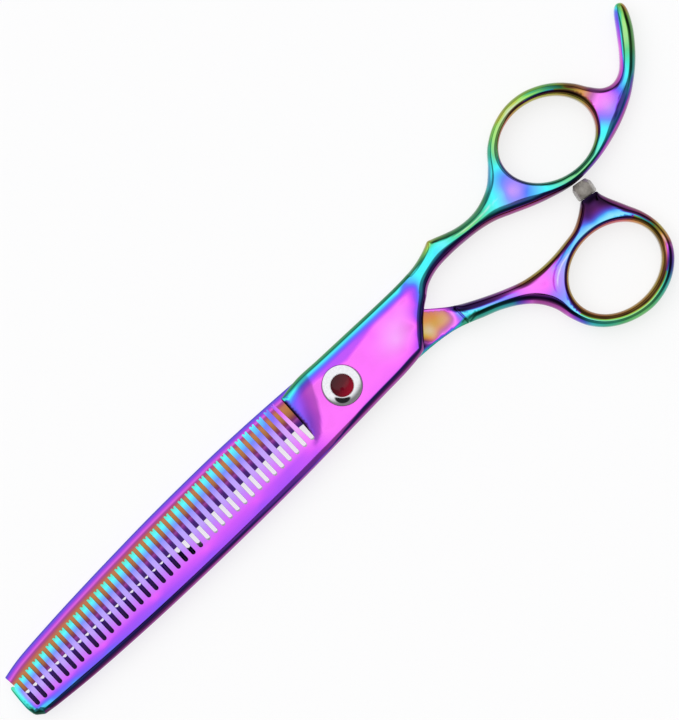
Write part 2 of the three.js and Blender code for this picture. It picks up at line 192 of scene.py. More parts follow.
def mix(a, b, share):
    return a + (b - a) * share


def nearest_on(points, targets, chunk=1500):
    """The number of the nearest target to each point, and the distance to it."""
    index, distance = [], []
    for start in range(0, max(len(points), 1), chunk):
        squared = ((points[start:start + chunk, None] - targets[None]) ** 2).sum(2)
        index.append(squared.argmin(1))
        distance.append(np.sqrt(squared.min(1)))
    return np.concatenate(index), np.concatenate(distance)


def nearest_distance(points, targets):
    return nearest_on(points, targets)[1]


def inside(points, loops, chunk=1500):
    """Even-odd test of points against closed loops."""
    flags = []
    starts = np.vstack(loops)
    ends = np.vstack([np.roll(loop, -1, 0) for loop in loops])
    for first in range(0, len(points), chunk):
        x = points[first:first + chunk, 0][:, None]
        y = points[first:first + chunk, 1][:, None]
        crosses = (starts[:, 1] > y) != (ends[:, 1] > y)
        rise = np.where(ends[:, 1] == starts[:, 1], 1e-12, ends[:, 1] - starts[:, 1])
        at = starts[:, 0] + (y - starts[:, 1]) * (ends[:, 0] - starts[:, 0]) / rise
        flags.append(np.sum(crosses & (x < at), 1) % 2 == 1)
    return np.concatenate(flags)


def signed_side(points, line):
    """Distance of points from an open line, positive on its right-hand side."""
    line = np.array(line, float)
    best = np.full(len(points), 1e9)
    side = np.zeros(len(points))
    for a, b in zip(line[:-1], line[1:]):
        ahead = b - a
        share = np.clip(((points - a) @ ahead) / (ahead @ ahead), 0, 1)
        gap = points - (a + share[:, None] * ahead)
        distance = np.hypot(gap[:, 0], gap[:, 1])
        cross = ahead[0] * gap[:, 1] - ahead[1] * gap[:, 0]
        closer = distance < best
        best[closer] = distance[closer]
        side[closer] = -np.sign(cross[closer])
    return best * side


# ---- Curves ----

def spline(points, step=OUTLINE_STEP):
    """The same curve as the CAD source's: uniform Catmull-Rom, with its end points counted twice."""
    knots = np.array(points, float)
    padded = np.vstack([knots[:1], knots, knots[-1:]])
    pieces = []
    for i in range(len(knots) - 1):
        p0, p1, p2, p3 = padded[i:i + 4]
        count = max(2, math.ceil(np.linalg.norm(p2 - p1) / step))
        t = (np.arange(count) / count)[:, None]
        v0 = (p2 - p0) / 2
        v1 = (p3 - p1) / 2
        cubic = 2 * p1 - 2 * p2 + v0 + v1
        square = 3 * p2 - 3 * p1 - 2 * v0 - v1
        pieces.append(cubic * t ** 3 + square * t ** 2 + v0 * t + p1)
    return np.vstack([*pieces, knots[-1:]])


def evenly(points, step):
    """Adds points along a polyline's long edges."""
    out = []
    for a, b in zip(points[:-1], points[1:]):
        count = max(1, math.ceil(np.linalg.norm(b - a) / step))
        out.extend(a + (b - a) * i / count for i in range(count))
    return np.array([*out, points[-1]])


def trimmed(points, start_cut, end_cut):
    """The polyline without a length of start_cut at its start and end_cut at its end."""
    lengths = np.concatenate([[0], np.cumsum(np.linalg.norm(np.diff(points, axis=0), axis=1))])
    low, high = start_cut, lengths[-1] - end_cut
    ends = [np.array([np.interp(s, lengths, points[:, axis]) for axis in (0, 1)]) for s in (low, high)]
    kept = points[(lengths > low + 0.02) & (lengths < high - 0.02)]
    return np.vstack([ends[0], kept, ends[1]])


def eased(points, cut, arc_points=3):
    """An open polyline with its inner corners eased over a short cut."""
    points = np.array(points, float)
    out = [points[0]]
    for before, corner, after in zip(points[:-2], points[1:-1], points[2:]):
        into, away = before - corner, after - corner
        a = corner + into * min(cut / np.linalg.norm(into), 0.45)
        b = corner + away * min(cut / np.linalg.norm(away), 0.45)
        for t in np.linspace(0, 1, arc_points + 1):
            out.append((1 - t) ** 2 * a + 2 * t * (1 - t) * corner + t ** 2 * b)
    return np.array([*out, points[-1]])


def ellipse(hole, step=OUTLINE_STEP):
    count = math.ceil(math.pi * (hole["long"] + hole["short"]) / step)
    angle = np.arange(count) / count * 2 * math.pi
    x, y = hole["long"] * np.cos(angle), hole["short"] * np.sin(angle)
    c, s = math.cos(hole["turn"]), math.sin(hole["turn"])
    return np.column_stack([hole["centre"][0] + c * x - s * y, hole["centre"][1] + s * x + c * y])


def circle(radius):
    angle = np.arange(HOLE_STEPS) / HOLE_STEPS * 2 * math.pi
    return radius * np.column_stack([np.cos(angle), np.sin(angle)])


def as_hole(loop):
    """A loop that runs clockwise, so that the material round the hole lies on its left."""
    return loop[::-1]


# ---- Plates: solids between two height fields, with a rounded edge whose width varies along the outline ----

class Rim:
    """One closed outline of a plate, with the (width, drop) of its edge on each face. Rows are loops between
    the lower and the upper rim, for a stepped bore."""

    def __init__(self, upper, lower, upper_edge, lower_edge, rows=()):
        self.loops = {1: upper, -1: lower}
        self.edges = {1: upper_edge, -1: lower_edge}
        self.rows = rows


def inward(loop):
    ahead = np.roll(loop, -1, 0) - np.roll(loop, 1, 0)
    ahead /= np.linalg.norm(ahead, axis=1)[:, None]
    return np.column_stack([-ahead[:, 1], ahead[:, 0]])


def ball_radius(points, normals, targets, chunk=400):
    """The radius of the largest circle inside the outline that touches it at each point."""
    found = []
    for start in range(0, len(points), chunk):
        gap = targets[None] - points[start:start + chunk, None]
        reach = (gap * normals[start:start + chunk, None]).sum(2)
        squared = (gap ** 2).sum(2)
        radius = np.where(reach > 1e-6, squared / np.maximum(2 * reach, 1e-9), 1e9)
        radius[squared < 1e-4] = 1e9
        found.append(radius.min(1))
    return np.concatenate(found)


def limited(width, radius, rounds=12):
    """The edge width kept under the room there is, and changing gently along the outline."""
    room = np.minimum(width, BALL_SHARE * radius)
    out = room.copy()
    for _ in range(rounds):
        out = np.minimum(room, (np.roll(out, 1) + out + np.roll(out, -1)) / 3)
    return out


class PlateMesh:
    """Collects vertices, faces and corner normals."""

    def __init__(self):
        self.points = []
        self.edge_share = []
        self.faces = []
        self.normals = []

    def add_points(self, xy, z, share):
        first = sum(len(p) for p in self.points)
        self.points.append(np.column_stack([xy, z]))
        self.edge_share.append(np.broadcast_to(share, len(xy)).astype(float))
        return first + np.arange(len(xy))

    def add_band(self, low, high, low_normals, high_normals):
        """Quads between two loops of the same length, facing away from the loops' left-hand side and up."""
        following = np.roll(np.arange(len(low)), -1)
        for i, j in enumerate(following):
            self.faces.append((low[i], low[j], high[j], high[i]))
            self.normals.append((low_normals[i], low_normals[j], high_normals[j], high_normals[i]))


def edge_loops(loop, edge, room, level, sign):
    """Loops from the rim to the flat: positions, heights, normals and the share of the way in."""
    normals = inward(loop)
    slope = slope_of(level)
    width = limited(edge[0], room)
    drop = np.broadcast_to(edge[1], len(loop))
    loops = []
    for share in np.linspace(0, 1, EDGE_LOOPS + 1):
        turned_in, turned_up = math.cos(share * math.pi / 2), math.sin(share * math.pi / 2)
        xy = loop + normals * (width * (1 - turned_in))[:, None]
        z = level(xy) - sign * drop * (1 - turned_up)
        across = -normals * (drop * turned_in)[:, None] - sign * slope(xy) * (width * turned_up)[:, None]
        normal = np.column_stack([across, sign * width * turned_up])
        normal /= np.maximum(np.linalg.norm(normal, axis=1), 1e-12)[:, None]
        loops.append((xy, z, normal, share))
    return loops


def slope_of(level, step=0.01):
    def slope(xy):
        along_x = level(xy + [step, 0]) - level(xy - [step, 0])
        along_y = level(xy + [0, step]) - level(xy - [0, step])
        return np.column_stack([along_x, along_y]) / (2 * step)
    return slope


def face_seeds(rings, creases, step):
    """Points for a face's triangles, its rings first, and the edges that the triangles have to keep."""
    boundary = np.vstack(rings)
    low, high = boundary.min(0), boundary.max(0)
    columns = np.arange(low[0], high[0], step)
    rows = np.arange(low[1], high[1], step * 0.87)
    grid = np.array([(x + (j % 2) * step / 2, y) for j, y in enumerate(rows) for x in columns])
    grid = grid[inside(grid, rings)]
    grid = grid[nearest_distance(grid, boundary) > step * 0.45]
    seeds, edges = list(rings), []
    start = 0
    for ring in rings:
        edges += [(start + i, start + (i + 1) % len(ring)) for i in range(len(ring))]
        start += len(ring)
    for crease in creases:
        points = evenly(np.array(crease, float), step)
        points = points[inside(points, rings)]
        points = points[nearest_distance(points, boundary) > 0.12]
        if len(points):
            grid = grid[nearest_distance(grid, points) > step * 0.35]
        edges += [(start + i, start + i + 1) for i in range(len(points) - 1)
                  if np.linalg.norm(points[i + 1] - points[i]) < 1.5 * step]
        seeds.append(points)
        start += len(points)
    return np.vstack([*seeds, grid]), edges


def fill_face(mesh, rings, ring_ids, level, sign, creases, step):
    """Triangles over the flat part of a face, with the corners' normals taken from the height field."""
    seeds, edges = face_seeds(rings, creases, step)
    made, _, triangles, sources, *_ = delaunay_2d_cdt([Vector(seed) for seed in seeds], edges, [], 0, 1e-7)
    made = np.array([tuple(point) for point in made])
    ids = np.full(len(made), -1)
    all_ids = np.concatenate(ring_ids)
    for i, numbers in enumerate(sources):
        on_ring = [number for number in numbers if number < len(all_ids)]
        if on_ring:
            ids[i] = all_ids[on_ring[0]]
    free = ids < 0
    ids[free] = mesh.add_points(made[free], level(made[free]), 1.0)
    triangles = np.array(triangles)
    triangles = triangles[inside(made[triangles].mean(1), rings)]
    centres = made[triangles].mean(1)
    slope = slope_of(level)
    corners = []
    for k in range(3):
        near = mix(made[triangles[:, k]], centres, 0.08)
        up = np.column_stack([-slope(near), np.ones(len(near))]) * sign
        corners.append(up / np.linalg.norm(up, axis=1)[:, None])
    order = (0, 1, 2) if sign > 0 else (2, 1, 0)
    for t in range(len(triangles)):
        mesh.faces.append(tuple(ids[triangles[t, k]] for k in order))
        mesh.normals.append(tuple(corners[k][t] for k in order))


def wall_normals(low, high, low_z, high_z):
    ahead = np.roll(high, -1, 0) - np.roll(high, 1, 0) + np.roll(low, -1, 0) - np.roll(low, 1, 0)
    up = np.column_stack([high - low, high_z - low_z])
    normal = np.cross(np.column_stack([ahead, np.zeros(len(ahead))]), up)
    return normal / np.maximum(np.linalg.norm(normal, axis=1), 1e-12)[:, None]


def build_plate(rims, levels, creases):
    """A closed mesh inside the rims, between the height fields of its outer (1) and inner (-1) face."""
    mesh = PlateMesh()
    rings = {1: [], -1: []}
    ids = {1: [], -1: []}
    outlines = {sign: np.vstack([rim.loops[sign] for rim in rims]) for sign in (1, -1)}
    for rim in rims:
        outer = {}
        for sign, loop in rim.loops.items():
            room = ball_radius(loop, inward(loop), outlines[sign])
            made = edge_loops(loop, rim.edges[sign], room, levels[sign], sign)
            loop_ids = [mesh.add_points(xy, z, share) for xy, z, _, share in made]
            for k in range(EDGE_LOOPS):
                low, high = (k, k + 1) if sign > 0 else (k + 1, k)
                mesh.add_band(loop_ids[low], loop_ids[high], made[low][2], made[high][2])
            rings[sign].append(made[-1][0])
            ids[sign].append(loop_ids[-1])
            outer[sign] = (loop_ids[0], made[0][0], made[0][1])
        stack = [outer[-1]]
        for xy, z in rim.rows:
            heights = np.full(len(xy), float(z))
            stack.append((mesh.add_points(xy, heights, 0.0), xy, heights))
        stack.append(outer[1])
        for below, above in zip(stack[:-1], stack[1:]):
            normals = wall_normals(below[1], above[1], below[2], above[2])
            mesh.add_band(below[0], above[0], normals, normals)
    for sign, step in ((1, FACE_STEP), (-1, BACK_FACE_STEP)):
        fill_face(mesh, rings[sign], ids[sign], levels[sign], sign, creases[sign], step)
    return mesh


def ease(edge, room, thickness, share):
    """An edge's (width, drop) kept within the room beside it and its share of the thickness."""
    width = limited(edge[0], room)
    return width, np.minimum(np.minimum(edge[1], STEEPEST_EDGE * width), share * thickness)


def along_handle(ends, share):
    """The (width, drop) of an edge between its blade and its handle values."""
    return [mix(blade, handle, share) for blade, handle in zip(*ends)]


def by_part(parts, edges):
    """The (width, drop) at each point of an outline, from the edge of the part it belongs to."""
    return [np.choose(parts, [edge[i] for edge in edges]) for i in (0, 1)]


def ring_hole(hole, outline, thickness):
    loop = as_hole(ellipse(hole))
    room = ball_radius(loop, inward(loop), np.vstack([loop, outline]))
    edge = ease(RING_HOLE_EDGE, room, thickness, RING_HOLE_SHARE)
    return Rim(loop, loop, edge, edge)


def dished(xy, spots):
    """How deep a face is dished at some points by a few soft round dishes."""
    depth = 0
    for centre, reach, deepest in spots:
        depth = depth + deepest * np.exp(-(((xy - centre) / reach) ** 2).sum(1))
    return depth


def new_mesh(name, points, faces, normals=None):
    """A smooth-shaded object from points in mm, with the faces' corner normals if they are given."""
    data = bpy.data.meshes.new(name)
    data.from_pydata((np.asarray(points) * MM).tolist(), [], [tuple(int(i) for i in f) for f in faces])
    data.validate(clean_customdata=False)
    data.shade_smooth()
    if normals is not None:
        data.normals_split_custom_set([tuple(n) for face in normals for n in face])
    piece = bpy.data.objects.new(name, data)
    bpy.context.scene.collection.objects.link(piece)
    return piece


# ---- The oxide film: a phase on a closed wheel of colours, and over it a painted shading from -1, painted shade, to 1, painted highlight ----
# Keys (x, y, phase, shading) paint the flats, called crest here, and two bands of colour along the edges: the
# rim, and the shoulder further in. The shading is painted shade and painted highlight; a key without it has
# shading 0.
FILM_COLOURS = [
    (0.00, (255, 120, 255)), (0.05, (225, 95, 252)), (0.10, (170, 85, 250)), (0.16, (125, 95, 255)),
    (0.22, (90, 130, 255)), (0.28, (85, 200, 255)), (0.33, (80, 250, 255)), (0.39, (80, 235, 205)),
    (0.46, (100, 215, 140)), (0.54, (160, 230, 100)), (0.62, (200, 205, 85)), (0.69, (205, 170, 75)),
    (0.76, (215, 145, 85)), (0.84, (200, 105, 110)), (0.92, (190, 80, 170)), (1.00, (255, 120, 255)),
]
# The fourth number of a key is its painted shading: painted shade below 0, painted highlight above 0.
COMB_CREST = [
    (0, 0, 0), (5, -3, 0), (-5, -3.5, 0), (8, 1, 0), (15, -1, 0, .28), (20, 3, 0, .1), (12, 3.5, 0),
    (20, -1.5, 0), (0, 5, 0), (10, 5, 0), (18, 5, 0), (-6, 5, 0), (-7, 0, 0), (-9.5, -4, 0), (10, -4, 0),
    (1, -4.6, 0), (15, -4.4, 0), (17, 1.5, 0, .2), (22.6, 3.6, 0), (-10.8, 6, .17), (-10.9, 3, .12),
    (-11, 0, .1), (-11, -3, .06), (18.4, -3.8, .06), (21, -1.2, .1), (23.2, 1.4, .1), (24.6, 2.8, .14),
    (19.3, -4.2, .22), (22, -1.4, .26), (24.4, 1, .28), (26.2, 3, .3), (23, 5.2, .03), (25.2, 5.8, .24),
    (25.2, 4.2, .12), (27.4, 5, .31), (28, 5.8, .33), (31, 6.3, .33), (34.4, 7.4, .33), (34.4, 8.6, .44),
    (36.5, 7.1, .34, .1), (39, 6.2, .42), (42, 5.8, .5, .1), (45.5, 5.6, .46), (49, 6.2, .37),
    (51, 6.4, .33), (53, 5.6, .27, .15), (54.6, 4.9, .1, .3), (56, 3.6, .14, .25), (57, 2.4, .22),
    (55.6, 7.4, .2, .1), (55.2, 9, .26), (55.8, 11, .35), (57.2, 12.9, .46, .1), (59.5, 15.2, .53, .1),
    (62.5, 17, .56, .15), (66.5, 17.9, .59, .45), (70.5, 17.5, .55, .1), (74.5, 16.1, .48, -.2),
    (77.8, 14, .42, -.6), (79.2, 12.6, .56, -.6), (80.3, 11, .7, -.2), (80.9, 9.2, .76, .1),
    (81.5, 7.8, .9, .1), (82, 6.4, 0, .1), (82.6, 4.6, .03, .2), (82.2, 3, .09, .25), (81, 2, .15, .15),
    (79.8, 1.4, .24, .1), (78.6, .5, .32), (77, -.3, .34), (75, -1, .37, .1), (72.5, -1.6, .44, .15),
    (69.5, -2, .49, .2), (66.5, -2, .48, .15), (63.5, -1.2, .42, .1), (61, .1, .34), (59, 1.5, .28, .05),
    (85, 4.3, .1, .1), (86.3, 4.2, .2), (88, 4.9, .29), (84.6, 2.6, .14, .1), (86.5, 3.4, .22, .05),
    (83.5, 1.2, .2, .1), (90.4, 6.4, .35), (92.6, 8.9, .44), (94.6, 11.6, .52, .15), (96.6, 14.3, .54, .15),
    (98, 16.3, .5), (-14, -5.2, .04), (-14, -6.2, .07), (-30, -5, .05), (-30, -6.6, .11), (-45, -5, .04),
    (-45, -6.8, .12), (-60, -5, .05), (-60, -6.6, .15), (-75, -4.7, .05), (-75, -6.1, .18),
    (-85, -4.5, .08), (-85, -5.6, .22), (-91, -4, .16), (-91.5, -5, .25), (-95, -3, .31),
    (-95.2, 0, .33, .1),
]
COMB_SHOULDER = [
    (-8, 7.7, .36, -.45), (0, 7.6, .38, -.5), (10, 7.4, .38, -.55), (20, 7.3, .4, -.6), (26, 7.4, .42, -.7),
    (30, 7.9, .44, -.7), (32.5, 8.8, .52, -.1), (34.4, 9.5, .55), (35.2, 9.3, .48, -.75),
    (37, 8.6, .45, -.8), (40, 7.5, .44, -.7), (44, 6.95, .44, -.55), (48, 7.5, .4, -.5),
    (50.5, 8.4, .33, -.75), (51.8, 9.2, .3, -.5), (53.5, 10.6, .33, -.1), (56, 13.2, .38),
    (58.5, 15.7, .46, .05), (61.5, 17.4, .52, .05), (66, 18.6, .58, .2), (70, 18.5, .54),
    (74.5, 17, .47, -.3), (78, 14.6, .42, -.7), (80, 12.6, .8, -.7), (81.5, 10.4, .78, -.4),
    (82.8, 8.6, .98, -.75), (84.5, 6.9, .05, -.85), (86.6, 6.3, .1, -.85), (88.5, 6.8, .22, -.3),
    (91, 8.8, .3, -.05), (94, 12.7, .38), (96.6, 16.3, .4, -.1), (98.2, 17.8, .5, -.3),
    (99.6, 16.3, .6, -.6), (98.6, 13, .5, -.9), (95.5, 8.8, .5, -.7), (92, 5.2, .4, -.75),
    (89, 2.8, .3, -.5), (86, .9, .26, -.55), (82, -1, .26, -.5), (78, -2.3, .28, -.4), (74, -3.1, .3, -.6),
    (70, -3.5, .42, -.75), (66, -3.5, .3, -.85), (62, -2.8, .2, -.8), (58, -1.5, .2, -.75),
    (53, .5, .25, -.78), (48, 2.5, .3, -.85), (44, 3.4, .25, -.85), (40, 3.8, .2, -.8), (35, 4, .18, -.75),
    (31, 3.5, .2, -.72), (28, 2.5, .22, -.7), (25, .3, .22, -.7), (22, -2.2, .2, -.7), (19.5, -5, .2, -.65),
    (17, -6.95, .18, -.58), (10, -7.6, .18, -.56), (-10, -8.3, .18, -.56), (-40, -8.85, .18, -.58),
    (-70, -8.3, .19, -.62), (-90, -7, .24, -.65), (-96, -5, .4, -.7), (-96.4, -1, .38, -.1),
    (-96.1, 1.5, .42), (-11.6, 7, .2, -.1), (-11.7, 2, .17, -.1), (-11.8, -2, .14, -.1),
    (57.3, 6, .18, -.85), (57.5, 9.5, .2, -.85), (59, 13, .5, -.75), (61, 15, .6, -.7), (64, 16.5, .8, -.6),
    (68, 17, .85, -.6), (71, 16, .14, -.7), (74, 15, .1, -.8), (77, 13, .85, -.8), (79, 10.5, .8, -.9),
    (79, 7, .75, -.75), (78.4, 4.2, .9, -.7), (76.5, 1.9, .1, -.75), (74, .3, .4, -.7),
    (70, -1.1, .45, -.7), (65, -.9, .44, -.7), (61.5, .8, .36, -.75), (59, 3, .3, -.85),
]
COMB_RIM = [
    (-11.4, 7.8, .52, -.3), (0, 7.6, .46, -.4), (15, 7.3, .46, -.45), (24, 7.3, .46, -.5),
    (28, 7.6, .46, -.5), (31.5, 8.4, .52, -.4), (34.2, 9.5, .64, -.3), (36, 9, .56, -.5),
    (38.5, 8.1, .48, -.6), (44, 6.95, .45, -.5), (49.3, 7.9, .44, -.55), (52, 9.3, .3, -.4),
    (55, 12, .3, -.3), (57.5, 14.9, .42, -.35), (61, 17.2, .54, -.35), (66, 18.6, .6, -.35),
    (72, 17.9, .56, -.4), (76.5, 15.8, .5, -.45), (79.5, 13, .7, -.6), (81.5, 10.4, .8, -.5),
    (83, 8.3, .95, -.6), (85, 6.6, .93, -.35), (88, 6.6, .94, -.2), (91.8, 9.8, .98, -.15),
    (95, 14, .1, -.1), (97.2, 17, .22, -.1), (98.4, 17.9, .42, -.2), (99.8, 16.3, .75, -.35),
    (99.2, 14, .55, -.5), (96, 9.2, .5, -.5), (92, 5, .35, -.6), (89, 2.8, .1, -.5), (85, .3, .96, -.4),
    (80, -1.8, .95, -.35), (74, -3.1, .05, -.4), (69, -3.6, .1, -.5), (66, -3.5, .1, -.9),
    (63.5, -3.2, .05, -.9), (60, -2.2, .92, -.5), (55, -.4, .9, -.2), (50, 1.7, .9, -.3),
    (45, 3.3, .9, -.4), (40, 3.85, .95, -.5), (33, 3.9, .95, -.45), (28, 2.5, .95, -.45),
    (24, -.4, .05, -.6), (20, -4.4, .1, -.7), (17.5, -6.8, .97, -.5), (10, -7.6, .97, -.4),
    (-10, -8.3, .97, -.4), (-40, -8.9, .97, -.4), (-70, -8.3, .95, -.45), (-92, -6.8, .93, -.6),
    (-96, -5.3, .42, -.8), (-96.4, -2, .36, -.1), (-96.2, 1.5, .42), (-11.6, 6.5, .16, -.9),
    (-11.7, 3, .12, -.9), (-11.8, -1, .08, -.85), (-11.9, -3.5, .05, -.5), (57.2, 9.5, .12, -.7),
    (57.6, 5.5, .15, -.75), (59, 2.6, .3, -.7), (61.5, .6, .4, -.6), (64.5, -.7, .45, -.55),
    (69, -1.2, .45, -.6), (73, -.6, .48, -.6), (75.5, .9, .6, -.5), (77.5, 3, .8, -.3),
    (78.6, 5, .82, -.25), (78.9, 8, .68, -.3), (78.5, 10.3, .66, -.5), (77.6, 12, .7, -.3),
    (74.5, 14, .64, -.25), (71, 15.8, .64, -.2), (68, 16.5, .66, -.2), (64, 16.4, .8, -.1),
    (61, 15, .8, -.3), (58.5, 12.3, .7, -.6),
]
THUMB_CREST = [
    (20.2, -4, .68, .05), (21.2, -6, .74, .1), (21.8, -4.6, .7, .25), (22.2, -2.6, .75),
    (23, -4.5, .72, .05), (24.4, -3.2, .76), (24.8, -5.2, .74, .1), (26.3, -4.4, .78, .1),
    (26.3, -5.6, .82, .15), (25.8, -2.6, .84, .1), (27.2, -4.5, .92, .1), (27.4, -6, .98, .1),
    (28, -5.4, .08, .2), (28.5, -6, .22, .2), (28.5, -7.2, .2, .1), (25.5, -7, .95, .1),
    (23, -6.9, .95, .1), (20.5, -6.8, .9), (18.4, -6.3, .1, -.9), (29.4, -7, .32, .1), (32, -8.1, .29, .25),
    (35, -9.5, .25, .25), (37.5, -10.6, .2, .2), (39.5, -11.7, .12, .2), (41.5, -12.4, .04, .1),
    (43.5, -13, 0, .05), (46, -13.3, 0, .05), (46.5, -14.8, 0), (48, -13.6, .03, .1), (50, -13.9, .1, .3),
    (47.4, -16.4, .08, .2), (46.8, -18.5, .17, .2), (46.9, -21, .27, .2), (47.2, -23.5, .33, .3),
    (48.4, -26.6, .38, .3), (50.4, -29.2, .43, .25), (53, -31.3, .48, .15), (56.5, -32.5, .5, .2),
    (60, -32.9, .48, .3), (63.5, -32.5, .42, .1), (66.4, -31.3, .36, -.3), (68.8, -29.4, .2, -.7),
    (70.3, -27.2, .05, -.2), (71.1, -25, .78, .5), (71.4, -23, .66, -.4), (71.5, -20.5, .3, -.6),
    (71.2, -18, .28, -.4), (70.2, -16, .28, .05), (68.6, -14.3, .28, .1), (66.5, -13.1, .28, .1),
    (64, -12.6, .28, .05), (61.5, -12.3, .28, .2), (58.5, -12.2, .29, .2), (55.5, -12.6, .28, .15),
    (53, -13.2, .24, .2), (51.4, -13.8, .18, .3), (65.6, -9.4, .07, -.78), (66.4, -10.6, .06, -.8),
    (64.6, -10.4, .05, -.72), (62.6, -10.9, .12, -.6), (68, -11.8, .07, -.85),
]
THUMB_SHOULDER = [
    (21, 2, .98), (24.5, -.9, .98, .1), (27.3, -3.1, .03), (29.2, -4.4, .2, -.9), (32, -6, .12, -.85),
    (36, -7.9, .08, -.8), (39, -9.25, .05, -.6), (41.5, -10.2, .98, -.45), (44, -10.9, .9, -.7),
    (47, -11.4, .86, -.75), (51, -11.5, .9, -.8), (55, -11.1, .1, -.8), (58, -10.6, .12, -.85),
    (60.5, -9.6, .08, -.8), (62.5, -8.3, 0, -.8), (64.2, -7.2, .08, -.93), (67.8, -7.9, .08, -.93),
    (68.8, -10.5, .06, -.93), (70.5, -14.4, .06, -.9), (72.2, -18.5, .95, -.9), (72.8, -22.5, .7, -.5),
    (72.3, -25.8, .78, -.4), (71.3, -28, .1, -.85), (69, -30.8, .15, -.9), (66, -32.6, .3, -.8),
    (63, -33.7, .42, -.4), (59, -34.2, .46), (55, -33.5, .46, .05), (51, -31.6, .42),
    (48.2, -29.2, .38, -.15), (46.5, -26.9, .32, -.4), (45.3, -24, .22, -.9), (44.4, -20.4, .12, -.95),
    (43, -17.7, .1, -.88), (40.8, -15.2, .12, -.88), (38, -13.4, .25, -.88), (34, -11.4, .38, -.88),
    (30, -9.8, .4, -.88), (28.3, -9.1, .4, -.85), (26, -8.4, .22, -.2), (23, -7.8, .14, -.1),
    (20, -7.5, .2, -.4), (48.5, -22, .1, -.85), (49.2, -18.8, .1, -.85), (51.2, -16, .1, -.8),
    (54, -14.5, .14, -.75), (58, -13.85, .16, -.6), (61, -13.85, .2, -.65), (64.5, -14.7, .2, -.75),
    (67.5, -16.7, .2, -.8), (69.4, -19.2, .72, -.6), (70.2, -21.8, .7, -.75), (70.2, -24.3, .75, -.6),
    (69.3, -26.6, .8, .1), (67.2, -28.8, .85, -.6), (64, -30.4, .8, -.9), (59, -31.2, .75, -.93),
    (54.6, -30.3, .75, -.93), (51, -27.9, .75, -.92), (49, -25, .7, -.93),
]
THUMB_RIM = [
    (21, 2, .02), (24.5, -.9, .02, -.1), (27.5, -3.3, .06, -.3), (29, -4.2, .12, -.7), (32, -6, .1, -.75),
    (36, -8, .06, -.7), (41, -10.1, .95, -.5), (43.5, -10.9, .72, -.45), (47, -11.4, .66, -.35),
    (51, -11.5, .66, -.35), (55, -11.1, .68, -.4), (59, -10.4, .76, -.4), (62, -8.7, .8, -.6),
    (64, -7.2, .1, -.9), (67.8, -7.9, .1, -.9), (68.8, -10.6, .92, -.6), (70.5, -14.4, .92, -.5),
    (72.3, -19.5, .85, -.45), (72.8, -22.4, .66, -.3), (72.4, -25.4, .75, -.3), (71.2, -28.2, .05, -.6),
    (68.5, -31.2, .2, -.6), (65, -33, .36, -.45), (60, -34.2, .46, -.3), (55, -33.5, .48, -.25),
    (50.5, -31.3, .42, -.35), (47.5, -28.4, .34, -.4), (45.8, -25.3, .15, -.3), (44.7, -22, .98, -.35),
    (43.8, -19, .95, -.35), (42, -16.4, .95, -.35), (40, -14.6, .1, -.4), (38, -13.4, .3, -.5),
    (34, -11.4, .38, -.45), (30, -9.8, .4, -.45), (27.5, -8.8, .42, -.4), (24, -8, .3, -.5),
    (20, -7.5, .38, -.5), (48.6, -21, .7, -.35), (49.4, -18.4, .7, -.35), (52, -15.4, .7, -.3),
    (56, -14.1, .74, -.25), (60, -13.8, .8, -.2), (64.6, -14.7, .84, -.1), (67, -16.3, .84),
    (69, -18.6, .75, -.1), (70, -21, .7, -.3), (70.2, -23.5, .7, -.55), (69.7, -26, .72, -.5),
    (68.2, -27.9, .7, -.35), (64.6, -30.1, .7, -.35), (59.5, -31.2, .72, -.35), (54, -30, .74, -.4),
    (50.4, -27.2, .76, -.45), (48.8, -24, .74, -.4),
]
# How far in from the outline the coating changes: keys (x, y, reach).
COMB_REACH = [
    (-96, 0, .9), (-96, -6, 1.4), (-60, -8.7, 1.7), (0, -8, 1.8), (14, -7.4, 1.8), (17.6, -6.6, 1.3),
    (20, -4.4, 1.1), (26, 1, 1.2), (30, 3.2, 1.7), (36, 4, 1.9), (50, 1.7, 2), (60, -2, 2), (70, -3.5, 2),
    (80, -1.7, 1.6), (88, 2, 1.3), (94, 7, 1.7), (99, 15, 1.7), (92, 10, 1), (87, 6.3, 1.5), (83, 8.4, 1.2),
    (78, 14.8, 1.6), (66, 18.6, 1.6), (56, 13.2, 1.2), (50, 8.1, 1.2), (44, 7, 1.4), (36, 9, 1.2),
    (28, 7.6, .9), (0, 7.6, 1), (-11.2, 7.8, 1), (-11.7, 4, 1.3), (-11.8, -1, 1.3), (-11.9, -3.5, .3),
    (57, 8, .6), (58.6, 12.6, .5), (64, 16.4, .7), (70, 16.2, 1), (76, 13.4, 1.5), (79, 8, 1.6),
    (77.5, 3, 1.1), (74, 0, .9), (66, -1.1, .9), (60, 1.7, .8),
]
THUMB_REACH = [
    (20, 3, .8), (27, -2.8, .8), (26, -8.4, .8), (20, -7.6, .8), (30, -4.9, 1.9), (40, -9.7, 1.6),
    (48, -11.5, 1.5), (56, -11, 1.4), (64, -7.2, 1.4), (68, -8, 1.4), (71, -15.4, 2), (72.8, -22.4, 1.6),
    (66, -32.6, 1.8), (56, -34, 1.6), (47, -27.8, 1.8), (44, -19.4, 2.2), (38, -13.4, 2.2),
    (31, -10.2, 2.2), (48.6, -20, 1.4), (50.5, -16.8, 1.1), (60, -13.8, 1.1), (67, -16.2, 1.4),
    (70, -22, 1.6), (64, -30.4, 1.5), (54, -30, 1.6),
]
KEY_SOFTNESS = 0.5
# Where, as shares of that reach, rim turns to shoulder and shoulder to crest.
RIM_TO_SHOULDER = (0.36, 0.62)
SHOULDER_TO_CREST = (0.74, 0.96)
# How far below the spine of the straight blade each phase and painted shading lies; the shading is painted
# shade, darkest furthest from the spine.
REAR_BLADE = [
    (0, .2, -.3), (.4, .15, -.15), (.9, .08, -.12), (1.4, -.02, -.2), (1.9, -.13, -.15), (2.5, -.21, -.12),
    (3.4, -.24, -.18), (4.8, -.22, -.3), (5.8, -.12, -.45), (6.6, .04, -.55), (7.6, .12, -.68),
]
